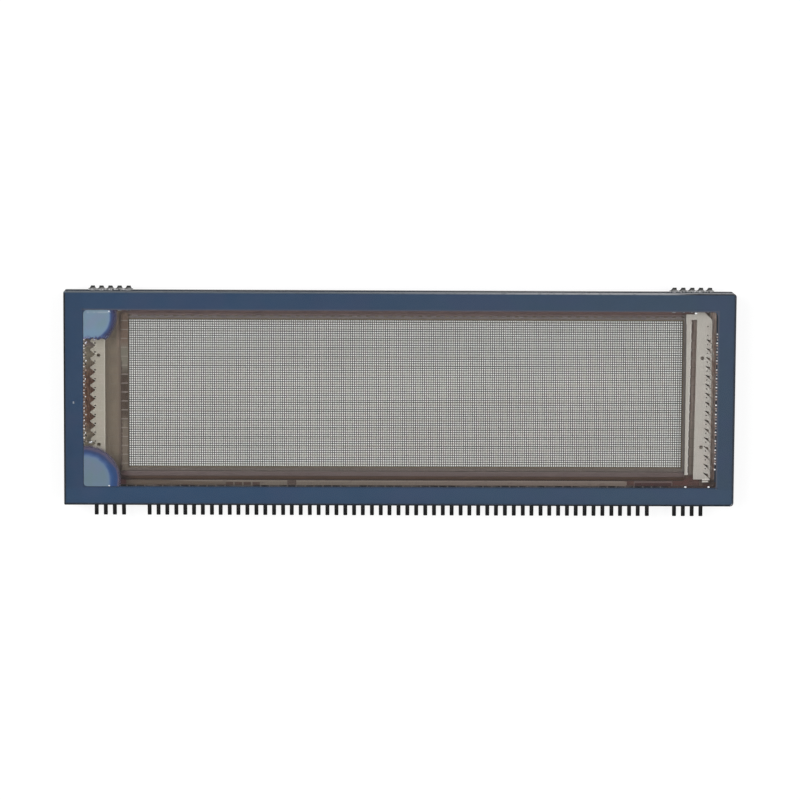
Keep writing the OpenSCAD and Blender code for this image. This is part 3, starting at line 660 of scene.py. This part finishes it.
def film_core(s, level):
    """Clouded pale middle of a film."""
    cloud = s.between(s.noise(0.28, 3, (1, 1, 1), 0.5, 0.8), 0.3, 0.7)
    pale = s.mix(cloud, scaled((0.177, 0.268, 0.322), level), scaled((0.183, 0.272, 0.378), level))
    lilac = s.between(s.noise(0.19, 2, (1, 1, 1), 0.5, 0.5), 0.52, 0.66, 0.55)
    return s.mix(lilac, pale, scaled((0.205, 0.252, 0.372), level))


def film_fringe(s, pale, away, fringe, level):
    """Blue fringe round the pale middle, as wide as fringe says."""
    start = -0.7 * fringe
    edge = s.ramp(s.between(away, start, fringe), [
        (0.0, scaled((0.18, 0.272, 0.372), level)), (0.18, scaled((0.172, 0.27, 0.41), level)),
        (0.32, (0.122, 0.19, 0.325)), (0.47, (0.098, 0.159, 0.301)), (0.62, (0.069, 0.117, 0.258)),
        (0.77, (0.045, 0.091, 0.227)), (0.9, (0.036, 0.069, 0.188)), (1.0, (0.031, 0.05, 0.135))])
    return s.mix(s.between(away, start - 0.3, start), pale, edge)


def upper_coat():
    """Film that turns bluer downwards and ends in an uneven lip above the anchor plate."""
    s = Shader("getter_film_upper_coat")
    fringe, level = 0.65, 1.0
    away = past_core(s, UPPER_FILM, 6.75)
    pale = s.mix(s.along("Y", 21.5, 18.2, 0.5), film_core(s, level), (0.168, 0.292, 0.455))
    tone = film_fringe(s, pale, away, fringe, level)
    tone = s.mix(s.between(away, fringe - 0.1, fringe + 0.5), tone, (0.04, 0.042, 0.112))
    uneven_y = s.math("ADD", s.axis("Y"), s.between(s.noise(1.1, 2), 0.3, 0.7, 0.32, -0.32))
    above_lip = s.between(uneven_y, UPPER_FLOOR + 1.2, UPPER_FLOOR + 0.6, 0.35)
    tone = s.mix(above_lip, tone, (0.11, 0.16, 0.33))
    lip = s.mix(s.along("X", -88.7, -87.9), (0.19, 0.165, 0.33), (0.035, 0.04, 0.1))
    tone = s.mix(s.between(uneven_y, UPPER_FLOOR + 0.65, UPPER_FLOOR + 0.35), tone, lip)
    glint = s.inside(-88.6, -82.0, 24.25, 24.62, 0.25)
    broken = s.between(s.noise(0.9, 2), 0.4, 0.6, 0.5, 0.15)
    tone = s.mix(s.times(glint, broken), tone, (0.42, 0.47, 0.52))
    cover = s.between(away, 0.65, 2.4, 0.0, 1.0)
    return s.done(s.principled(tone, 0.35, Alpha=cover, Metallic=0.1))


def lower_coat():
    """Film with a deep blue ring, wider downwards, that thins out into violet."""
    s = Shader("getter_film_lower_coat")
    fringe, level = 1.3, 0.8
    away = past_core(s, LOWER_FILM, 7.05)
    tone = film_fringe(s, film_core(s, level), away, fringe, level)
    turn = s.along("Y", -17.5, -20.5)
    deep = s.times(s.between(away, -0.5, 0.4), s.between(turn, 0.0, 1.0, 0.6, 0.15))
    tone = s.mix(deep, tone, (0.008, 0.058, 0.195))
    outer = s.less(away, s.between(turn, 0.0, 1.0, 0.55, 0.2))
    tone = s.mix(s.between(outer, fringe - 0.1, fringe + 0.5), tone, (0.088, 0.076, 0.128))
    cover = s.between(away, 2.1, 3.3, 0.0, 1.0)
    return s.done(s.principled(tone, 0.35, Alpha=cover, Metallic=0.1))


def bead_glass(name, low, high):
    s = Shader(name)
    grain = s.noise(4.0, 2)
    s.base = s.two_tone(grain, low, high)
    return s.skin(0.12, s.bump(grain, 0.02), Coat_Weight=0.5)


# Mesh tools
def piece(name, verts, faces, materials, picks=None, replaces=(), smooth=False):
    """Makes a piece from corners in millimetres. picks gives each face's material."""
    mesh = bpy.data.meshes.new(name)
    mesh.from_pydata([(x * MM, y * MM, z * MM) for x, y, z in verts], [], faces)
    for material in materials:
        mesh.materials.append(material)
    if picks is not None:
        mesh.polygons.foreach_set("material_index", picks)
    mesh.polygons.foreach_set("use_smooth", [smooth] * len(mesh.polygons))
    mesh.update()
    made = bpy.data.objects.new(name, mesh)
    scene.collection.objects.link(made)
    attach(made, BODY)
    if replaces:
        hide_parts(*replaces)
    return made


def lift(outline, z):
    """Outline of the plan set at a height."""
    return [(x, y, z) for x, y in outline]


def loft(verts, faces, rings):
    """Skin over rings of equal count, closed at both ends. Returns the number of faces added."""
    first, count = len(verts), len(rings[0])
    before = len(faces)
    for ring in rings:
        verts.extend(ring)
    for r in range(len(rings) - 1):
        a, b = first + r * count, first + (r + 1) * count
        for k in range(count):
            j = (k + 1) % count
            faces.append((a + k, a + j, b + j, b + k))
    faces.append(tuple(range(first + count - 1, first - 1, -1)))
    last = first + (len(rings) - 1) * count
    faces.append(tuple(range(last, last + count)))
    return len(faces) - before


def arc(centre, radius, start, end, steps):
    """Points along an arc between two angles in degrees."""
    cx, cy = centre
    angles = [math.radians(start + (end - start) * k / steps) for k in range(steps + 1)]
    return [(cx + radius * math.cos(a), cy + radius * math.sin(a)) for a in angles]


def rounded(half_x, half_y, radii, inset=0.0, steps=5):
    """Outline of a rectangle with its own radius at each corner, anticlockwise from the lower left."""
    points = []
    corners = ((-1, -1, 180), (1, -1, 270), (1, 1, 0), (-1, 1, 90))
    for (side_x, side_y, start), radius in zip(corners, radii):
        r = max(radius - inset, 0.05)
        centre = (side_x * (half_x - inset - r), side_y * (half_y - inset - r))
        points += arc(centre, r, start, start + 90, steps)
    return points


def lump(verts, faces, centre, radii, rings, sides):
    """Closed rounded lump, flattened as its radii say."""
    first = len(verts)
    cx, cy, cz = centre
    rx, ry, rz = radii
    verts.append((cx, cy, cz - rz))
    for r in range(1, rings):
        a = -math.pi / 2 + math.pi * r / rings
        for k in range(sides):
            b = 2 * math.pi * k / sides
            flat = math.cos(a)
            verts.append((cx + rx * flat * math.cos(b), cy + ry * flat * math.sin(b), cz + rz * math.sin(a)))
    verts.append((cx, cy, cz + rz))
    top = len(verts) - 1
    for k in range(sides):
        j = (k + 1) % sides
        faces.append((first, first + 1 + j, first + 1 + k))
        faces.append((top, top - sides + k, top - sides + j))
        for r in range(rings - 2):
            a, b = first + 1 + r * sides, first + 1 + (r + 1) * sides
            faces.append((a + k, a + j, b + j, b + k))


def new_loop(bm, outline, z):
    """New corners of a bmesh along an outline of the plan at a height."""
    return [bm.verts.new((x * MM, y * MM, z * MM)) for x, y in outline]


def wall(bm, low, high):
    """Wall of faces between two loops of equal count."""
    for k in range(len(low)):
        j = (k + 1) % len(low)
        bm.faces.new((low[k], low[j], high[j], high[k]))


def fill_between(bm, outer, inner):
    """Flat faces between an outline and a hole in it."""
    edges = []
    for loop in (outer, inner):
        for k in range(len(loop)):
            pair = (loop[k], loop[(k + 1) % len(loop)])
            edges.append(bm.edges.get(pair) or bm.edges.new(pair))
    bmesh.ops.triangle_fill(bm, use_beauty=True, use_dissolve=False, edges=edges)


def close_up(bm, made):
    """Turns all faces outwards and hands the bmesh over to a piece."""
    bmesh.ops.recalc_face_normals(bm, faces=bm.faces)
    bm.to_mesh(made.data)
    bm.free()
    made.data.update()


# Panes
def pane(name, levels, replaces, glass, ground):
    """Pane from (height, inset) levels, with clear faces and ground edges."""
    verts, faces = [], []
    rings = [lift(rounded(EDGE_X, EDGE_Y, CORNERS, inset), z) for z, inset in levels]
    count = loft(verts, faces, rings)
    return piece(name, verts, faces, [glass, ground], [1] * (count - 2) + [0, 0], replaces)


def rear_pane(glass, ground):
    """Rear pane with the evacuation hole and the recess round it."""
    top_z = REAR_IN + SINK
    made = pane("rear_pane", [(0.0, BEVEL), (BEVEL, 0.0), (top_z, 0.0)], ["rear_glass"], glass, ground)
    bm = bmesh.new()
    bm.from_mesh(made.data)
    bm.verts.ensure_lookup_table()
    count = len(rounded(EDGE_X, EDGE_Y, CORNERS))
    bottom_ring = bm.verts[:count]
    top_ring = bm.verts[2 * count:]
    for face in [f for f in bm.faces if len(f.verts) == count]:
        bm.faces.remove(face)
    sides = 40
    levels = ((PORT_RECESS, 0.0), (PORT_RECESS, PORT_DEPTH), (PORT_HOLE, PORT_DEPTH), (PORT_HOLE, top_z))
    port = [new_loop(bm, arc((PORT_X, 0.0), radius, 0, 360, sides)[:-1], z) for radius, z in levels]
    for low, high in zip(port, port[1:]):
        wall(bm, low, high)
    fill_between(bm, bottom_ring, port[0])
    fill_between(bm, top_ring, port[-1])
    close_up(bm, made)


# Dot matrix
def dot_matrix():
    """Dark ground slab with each dot as a small raised square that narrows upwards."""
    pitch_x, pitch_y = (DOTS_R - DOTS_L) / DOT_COLS, (DOTS_T - DOTS_B) / DOT_ROWS
    pad_x, pad_y = (pitch_x - DOT_GAP) / 2, (pitch_y - DOT_GAP) / 2
    shrink = 0.03
    slab_top, overlap = DOTS_Z + 0.055, 0.01
    verts, faces, picks = [], [], []
    slab = [(DOTS_L, DOTS_B), (DOTS_R, DOTS_B), (DOTS_R, DOTS_T), (DOTS_L, DOTS_T)]
    picks += [1] * loft(verts, faces, [lift(slab, DOTS_Z), lift(slab, slab_top)])
    for row in range(DOT_ROWS):
        y = DOTS_B + (row + 0.5) * pitch_y
        for col in range(DOT_COLS):
            x = DOTS_L + (col + 0.5) * pitch_x
            first = len(verts)
            for z, cut in ((slab_top - overlap, 0.0), (DOTS_TOP, shrink)):
                hx, hy = pad_x - cut, pad_y - cut
                square = [(x - hx, y - hy), (x + hx, y - hy), (x + hx, y + hy), (x - hx, y + hy)]
                verts.extend(lift(square, z))
            for k in range(4):
                j = (k + 1) % 4
                faces.append((first + k, first + j, first + 4 + j, first + 4 + k))
            faces.append((first + 4, first + 5, first + 6, first + 7))
            picks += [0] * 5
    pale = phosphor("phosphor_dots", (0.83, 0.825, 0.8), (0.95, 0.945, 0.92))
    dark = phosphor("anode_ground", (0.03, 0.028, 0.026), (0.048, 0.045, 0.041))
    piece("phosphor_dots", verts, faces, [pale, dark], picks, ["phosphor_matrix"])


# Leads and stubs
def bar_rings(stations, chamfer):
    """Rings of a flat bar of the lead frame with softened edges, from (y, x, half width) stations."""
    rings = []
    for y, x, half in stations:
        c = min(chamfer, half / 3)
        left, right = x - half, x + half
        rings.append([
            (left, y, LEAD_Z + c), (left + c, y, LEAD_Z), (right - c, y, LEAD_Z), (right, y, LEAD_Z + c),
            (right, y, LEAD_TOP - c), (right - c, y, LEAD_TOP), (left + c, y, LEAD_TOP),
            (left, y, LEAD_TOP - c)])
    return rings


LEAD_INNER = -WIN_Y - 0.3
BENT_LEADS = {-32: 0.09, -31: 0.11}


def lead_group(name, node, places, shift, long_places, skin):
    """Leads at whole places of the pitch, with a slight lean. The long ones reach under a filament plate."""
    rng = random.Random(name)
    verts, faces = [], []
    half = LEAD_W / 2
    wide = half + 0.05
    for place in places:
        x = place * LEAD_PITCH + shift
        lean = 0.05 + rng.uniform(-0.05, 0.05) + BENT_LEADS.get(place, 0.0)
        inner = high_of(node).y if place in long_places else LEAD_INNER
        stations = [
            (inner, x, half - 0.05), (inner - 0.03, x, half),
            (-EDGE_Y, x, half), (-EDGE_Y - 0.05, x, wide), (-EDGE_Y - 0.5, x + lean * 0.7, wide),
            (LEAD_TIP + 0.35, x + lean, wide), (LEAD_TIP + 0.1, x + lean, wide - 0.02),
            (LEAD_TIP, x + lean, wide - 0.12)]
        loft(verts, faces, bar_rings(stations, 0.05))
    piece(name, verts, faces, [skin], None, [node])


def lead_rows():
    skin = lead_metal()
    main = range(-MAIN_LAST, MAIN_LAST + 1)
    left, right = range(-SIDE_LAST, -SIDE_FIRST + 1), range(SIDE_FIRST, SIDE_LAST + 1)
    lead_group("lead_row_main", "leads_main", main, MAIN_SHIFT, (), skin)
    lead_group("lead_row_left", "leads_left", left, 0.0, left[:2], skin)
    lead_group("lead_row_right", "leads_right", right, 0.0, right[-1:], skin)


# Outside part of a stub: distance past the glass edge, half width, share of the lean
STUB_PROFILE = (
    (1.3, 0.52, 1.0), (1.2, 0.58, 1.0), (1.04, 0.63, 0.75), (0.88, 0.69, 0.5), (0.74, 0.77, 0.3),
    (0.62, 0.89, 0.15), (0.55, 1.04, 0.05), (0.52, 1.25, 0.0), (0.0, 1.25, 0.0))
STUB_INNER = WIN_Y - 0.65
STUB_CARRIER = 1


def stub_group(name, node, side, tip_lean, skin):
    """Cut tie bars with a wide root and a necked tip; one of them carries a filament plate."""
    rng = random.Random(name)
    verts, faces = [], []
    half = LEAD_W / 2
    for n in range(STUB_COUNT):
        x = side * (STUB_LAST - n) * LEAD_PITCH + STUB_SHIFT
        lean = tip_lean + rng.uniform(-0.05, 0.05)
        inner = low_of(node).y if n == STUB_CARRIER else STUB_INNER
        stations = [(EDGE_Y + past, x + lean * share, wide) for past, wide, share in STUB_PROFILE]
        stations += [(EDGE_Y - 0.02, x, half), (inner + 0.03, x, half), (inner, x, half - 0.055)]
        loft(verts, faces, bar_rings(stations, 0.04))
    piece(name, verts, faces, [skin], None, [node])


def stubs():
    skin = stub_metal()
    stub_group("tie_stubs_left", "stubs_left", -1, -0.02, skin)
    stub_group("tie_stubs_right", "stubs_right", 1, 0.16, skin)


# Mirror films
FILM_GAP = 0.02


def upper_outline():
    """Part of a disc, clipped by the seal, with a ragged lower end."""
    rng = random.Random(5)
    reach, corner = 10.0, 1.2
    left, top = SEAL_L + FILM_GAP, SEAL_T - FILM_GAP
    cx, cy = UPPER_FILM
    points = [p for p in arc(UPPER_FILM, reach, -36, 12, 24) if p[1] < top - 0.01]
    points.append((cx + math.sqrt(reach ** 2 - (top - cy) ** 2), top))
    points += arc((left + corner, top - corner), corner, 90, 180, 5)
    points.append((left, UPPER_FLOOR))
    x = left + 0.3
    while x < points[0][0] - 0.2:
        points.append((x, UPPER_FLOOR + rng.uniform(-0.28, 0.28)))
        x += rng.uniform(0.3, 0.6)
    return points


def lower_outline():
    """Part of a disc in the lower left corner of the seal."""
    reach, corner = 10.4, 0.95
    left, bottom = SEAL_L + FILM_GAP, SEAL_B + FILM_GAP
    cx, cy = LOWER_FILM
    start = math.degrees(math.asin((bottom - cy) / reach))
    end = 180 - math.degrees(math.acos(min(1.0, (cx - left) / reach)))
    return arc((left + corner, bottom + corner), corner, 180, 270, 5) + arc(LOWER_FILM, reach, start, end, 40)


def film(name, node, outline, coat):
    verts, faces = [], []
    loft(verts, faces, [lift(outline, FILM_Z), lift(outline, FRONT_IN)])
    made = piece(name, verts, faces, [coat], None, [node])
    bm = bmesh.new()
    bm.from_mesh(made.data)
    bmesh.ops.triangulate(bm, faces=[f for f in bm.faces if len(f.verts) > 4])
    bm.to_mesh(made.data)
    bm.free()


# Beads and welds
CLEAR, GREY, SHADE, PINK, LILAC = range(5)


def beads():
    """Droplets of sealing glass along the ends of the window, and a few larger ones at its long sides; their
    near-white and dark colours are painted glints and painted shade.
    """
    rng = random.Random(11)
    verts, faces, picks = [], [], []

    def drop(centre, radii, sides, skin=CLEAR):
        lump(verts, faces, centre, radii, 5, sides)
        picks.extend([skin] * (len(faces) - len(picks)))

    def bead(x, y, rise, r, squash=1.0, skin=CLEAR):
        drop((x, y, FRIT_Z + rise), (r, r * squash, r * 0.9), 8, skin)

    def near(value, spread):
        return value + rng.uniform(-spread, spread)

    # Along the left end: near-white beads are painted glints and the dark beads painted shade.
    for n in range(2, 14):
        y = fil_y(n) - 0.13
        odd_skin = PINK if n % 2 else CLEAR
        bead(SEAL_L + 0.12, near(y, 0.1), 0.05, rng.uniform(0.21, 0.26), rng.uniform(0.8, 1.1))
        bead(SEAL_L + 0.62, near(y + 0.69, 0.1), 0.1, rng.uniform(0.22, 0.28), 1.1, SHADE)
        bead(SEAL_L + 0.1, near(y - 0.57, 0.08), 0.1, rng.uniform(0.15, 0.2), 1.0, GREY)
        x = SEAL_L + rng.uniform(0.5, 0.72)
        bead(x, near(y - 1.0, 0.12), 0.1, rng.uniform(0.16, 0.22), 1.3, odd_skin)
        bead(SEAL_L + 0.1, near(y - 1.08, 0.05), 0.1, rng.uniform(0.15, 0.19), 1.2, SHADE)
        bead(SEAL_L + 0.12, near(y - 1.62, 0.1), 0.1, rng.uniform(0.16, 0.21), 1.0, rng.choice((CLEAR, GREY)))
    for x, y in ((89.93, -18.32), (89.9, -19.98)):
        bead(x, y, 0.0, 0.3, 0.85)
    # Along the right end: near-white beads are painted glints and the dark beads painted shade.
    for n in range(1, 16):
        x, y = SEAL_R - 0.12 - 0.012 * n, fil_y(n) - 0.5
        fourth_skin = SHADE if n % 4 == 0 else GREY
        bead(x, near(y, 0.06), 0.0, rng.uniform(0.29, 0.33), 0.82)
        bead(x - 0.04, near(y - 0.8, 0.08), 0.1, rng.uniform(0.26, 0.31), 1.1, PINK)
        bead(x + 0.02, near(y - 1.55, 0.08), 0.1, rng.uniform(0.24, 0.29), 1.1, fourth_skin)
    # Near-white lumps at the long sides, as painted glints.
    for x, y, r in ((-82.45, 24.72, 0.42), (-82.55, -25.05, 0.42), (83.9, 24.72, 0.42), (81.55, -25.02, 0.38),
                    (88.2, -25.02, 0.34)):
        drop((x, y, FRIT_Z + 0.15), (r, r * 0.75, 0.18), 10)
    bead(-86.6, 16.63, 0.1, 0.27, 0.9, LILAC)
    bead(-88.87, 15.85, 0.1, 0.19, 1.7, LILAC)
    drop((-88.0, -12.9, PLATE_TOP + 0.15), (0.5, 0.3, 0.12), 9)
    drop((-87.6, -12.7, PLATE_TOP + 0.15), (0.25, 0.3, 0.1), 9)
    # The glass and dark tones carry the painted glints and painted shade.
    tones = (
        ("glass", (0.8, 0.81, 0.83), (0.97, 0.97, 0.98)), ("grey", (0.25, 0.25, 0.26), (0.4, 0.4, 0.41)),
        ("dark", (0.02, 0.018, 0.02), (0.06, 0.052, 0.054)),
        ("pink", (0.3, 0.225, 0.205), (0.46, 0.37, 0.34)), ("lilac", (0.3, 0.28, 0.42), (0.5, 0.48, 0.62)))
    skins = [bead_glass("seal_bead_" + name, low, high) for name, low, high in tones]
    piece("seal_beads", verts, faces, skins, picks, (), True)


def welds():
    """Weld marks beside the filaments, on the anchor and on the slightly leaning spring frame."""
    verts, faces = [], []
    middle = FIL_COUNT // 2
    for n in range(FIL_COUNT):
        for x, fall, r in ((-86.55, 1.25, 0.27), (87.42 + 0.012 * (middle - n), 1.0, 0.21)):
            lump(verts, faces, (x, fil_y(n) - fall, PLATE_TOP), (r, r * 0.9, 0.05), 4, 8)
    piece("filament_welds", verts, faces, [dark_weld()], None, (), True)


# Front sealing band
def band_hole():
    """Inner outline of the band, slightly uneven, and more so beside the beads at the left."""
    rng = random.Random(3)
    steps, stretch, spread = 5, 1.3, 0.035
    mid_x, mid_y = (SEAL_L + SEAL_R) / 2, (SEAL_B + SEAL_T) / 2
    outline = rounded((SEAL_R - SEAL_L) / 2, (SEAL_T - SEAL_B) / 2, (0.95, 0.5, 1.4, 1.2), 0.0, steps)
    points = []
    for k, (x, y) in enumerate(outline):
        points.append((x + mid_x, y + mid_y))
        if k % (steps + 1) != steps:
            continue
        next_x, next_y = outline[(k + 1) % len(outline)]
        parts = max(2, round(math.hypot(next_x - x, next_y - y) / stretch))
        upright = abs(next_y - y) > abs(next_x - x)
        for p in range(1, parts):
            push = rng.uniform(-spread, spread)
            off_x, off_y = (push, 0) if upright else (0, push)
            px = x + (next_x - x) * p / parts + mid_x + off_x
            py = y + (next_y - y) * p / parts + mid_y + off_y
            if px < SEAL_L + 0.1 and -13.5 < py < 15.8:
                px += 1.5 * push - 0.14
            points.append((px, py))
    return points


def seal_band():
    outer = rounded(EDGE_X - 0.1, EDGE_Y - 0.1, CORNERS)
    inner = band_hole()
    bm = bmesh.new()
    low_outer, low_inner = new_loop(bm, outer, FRIT_Z), new_loop(bm, inner, FRIT_Z)
    high_outer, high_inner = new_loop(bm, outer, FRONT_IN), new_loop(bm, inner, FRONT_IN)
    wall(bm, low_outer, high_outer)
    wall(bm, low_inner, high_inner)
    fill_between(bm, low_outer, low_inner)
    fill_between(bm, high_outer, high_inner)
    made = piece("seal_band", [], [], [seal_frit()], None, ["front_frit"])
    close_up(bm, made)


# Carried-over nodes
def dress(material, *names):
    for name in names:
        mesh = nodes[name].data
        mesh.materials.clear()
        mesh.materials.append(material)


def soften(width, *names):
    """Small rounded edges on sheet metal nodes."""
    for name in names:
        node = nodes[name]
        weld = node.modifiers.new("weld", "WELD")
        weld.merge_threshold = 1e-6
        flat = node.modifiers.new("flat", "DECIMATE")
        flat.decimate_type = "DISSOLVE"
        flat.angle_limit = math.radians(1)
        edge = node.modifiers.new("edge", "BEVEL")
        edge.width = width * MM
        edge.segments = 2
        edge.limit_method = "ANGLE"
        edge.angle_limit = math.radians(35)


def carried_over():
    dress(lower_frit(), "rear_frit", "exhaust_seal")
    dress(spacer_glass(), "spacer_top", "spacer_bottom", "spacer_left", "spacer_right", "exhaust_lid")
    dress(insulation(), "insulation_layer")
    dress(paste(), "contact_pads")
    dress(wiring_film(), "lead_wiring")
    dress(bar_film(), "bar_field")
    dress(grid_foil(), "control_grid")
    dress(cover_sheet(), "die_cover")
    dress(silicon(), "driver_dies")
    dress(filament_wire(), "filaments")
    dress(plate_metal(), "filament_anchor", "filament_spring_frame")
    dress(getter_metal(), "getter_upper", "getter_lower")
    dress(getter_alloy(), "getter_fill_upper", "getter_fill_lower")
    soften(0.04, "filament_anchor", "filament_spring_frame", "getter_upper", "getter_lower")
    soften(0.03, "die_cover")


# Floor, world, lights and camera
def floor():
    """White floor to the camera, which lights the part only a little from below."""
    s = Shader("pale_floor")
    rays = s.node("LightPath").outputs
    seen = s.most(s.most(rays["Is Camera Ray"], rays["Is Glossy Ray"]), rays["Is Transmission Ray"])
    glow = s.node("Emission", None, {"Color": (1.0, 1.0, 1.0), "Strength": s.times(seen, 0.82)}).outputs[0]
    matt = s.node("BsdfDiffuse", None, {"Color": (0.24, 0.24, 0.24)}).outputs[0]
    material = s.done(s.node("AddShader", None, {0: glow, 1: matt}).outputs[0])
    half, z = 4.0, -0.00002
    mesh = bpy.data.meshes.new("floor")
    corners = [(-half, -half, z), (half, -half, z), (half, half, z), (-half, half, z)]
    mesh.from_pydata(corners, [], [(0, 1, 2, 3)])
    mesh.materials.append(material)
    made = bpy.data.objects.new("floor", mesh)
    scene.collection.objects.link(made)


def sky():
    """World that is white at the horizon and grey overhead."""
    world = bpy.data.worlds.new("studio")
    scene.world = world
    world.use_nodes = True
    tree = world.node_tree
    tree.nodes.clear()
    kinds = ("OutputWorld", "Background", "TexCoord", "SeparateXYZ", "ValToRGB")
    out, back, place, split, ramp = (tree.nodes.new("ShaderNode" + kind) for kind in kinds)
    horizon, overhead = ramp.color_ramp.elements
    horizon.position = 0.15
    horizon.color = (1.0, 1.0, 1.0, 1.0)
    overhead.position = 0.95
    overhead.color = (0.24, 0.24, 0.245, 1.0)
    tree.links.new(place.outputs["Generated"], split.inputs[0])
    tree.links.new(split.outputs["Z"], ramp.inputs[0])
    tree.links.new(ramp.outputs[0], back.inputs["Color"])
    tree.links.new(back.outputs[0], out.inputs["Surface"])


def lamps():
    for name, place, power in (("key", (-0.95, 0.35, 0.95), 8.6), ("fill", (0.95, 0.1, 0.95), 5.5)):
        light = bpy.data.lights.new(name, "AREA")
        light.shape = "RECTANGLE"
        light.size = 0.8
        light.size_y = 0.8
        light.energy = power
        lamp = bpy.data.objects.new(name, light)
        lamp.location = place
        lamp.rotation_euler = (-Vector(place)).to_track_quat("-Z", "Y").to_euler()
        scene.collection.objects.link(lamp)


def camera():
    """Camera as fitted to the glass edges and the lead row of the photograph."""
    photo_width, focal_pixels, sensor = 800, 3702.57, 36
    target = Vector((-0.01, -0.093, 8.6)) * MM
    distance = 1050 * MM
    tilt, yaw, roll = math.radians(6.608), math.radians(1.148), math.radians(0.3224)
    ahead = Vector((math.sin(yaw) * math.cos(tilt), -math.sin(tilt), -math.cos(yaw) * math.cos(tilt)))
    level = ahead.cross(Vector((0, 1, 0))).normalized()
    upward = level.cross(ahead)
    right = math.cos(roll) * level + math.sin(roll) * upward
    up = -math.sin(roll) * level + math.cos(roll) * upward
    lens = bpy.data.cameras.new("camera")
    lens.sensor_width = sensor
    lens.lens = focal_pixels / photo_width * sensor
    lens.clip_start = 0.01
    lens.clip_end = 20
    made = bpy.data.objects.new("camera", lens)
    spin = Matrix((right, up, -ahead)).transposed().to_4x4()
    made.matrix_world = Matrix.Translation(target - distance * ahead) @ spin
    scene.collection.objects.link(made)
    scene.camera = made


# Build
glass, ground = clear_glass(), ground_glass()
front_levels = [(FRONT_IN - SINK, 0.0), (FACE_Z - BEVEL, 0.0), (FACE_Z, BEVEL)]
pane("front_pane", front_levels, ["front_glass"], glass, ground)
rear_pane(glass, ground)
dot_matrix()
lead_rows()
stubs()
film("getter_film_upper", "getter_mirror_upper", upper_outline(), upper_coat())
film("getter_film_lower", "getter_mirror_lower", lower_outline(), lower_coat())
beads()
welds()
seal_band()
carried_over()
floor()
sky()
lamps()
camera()
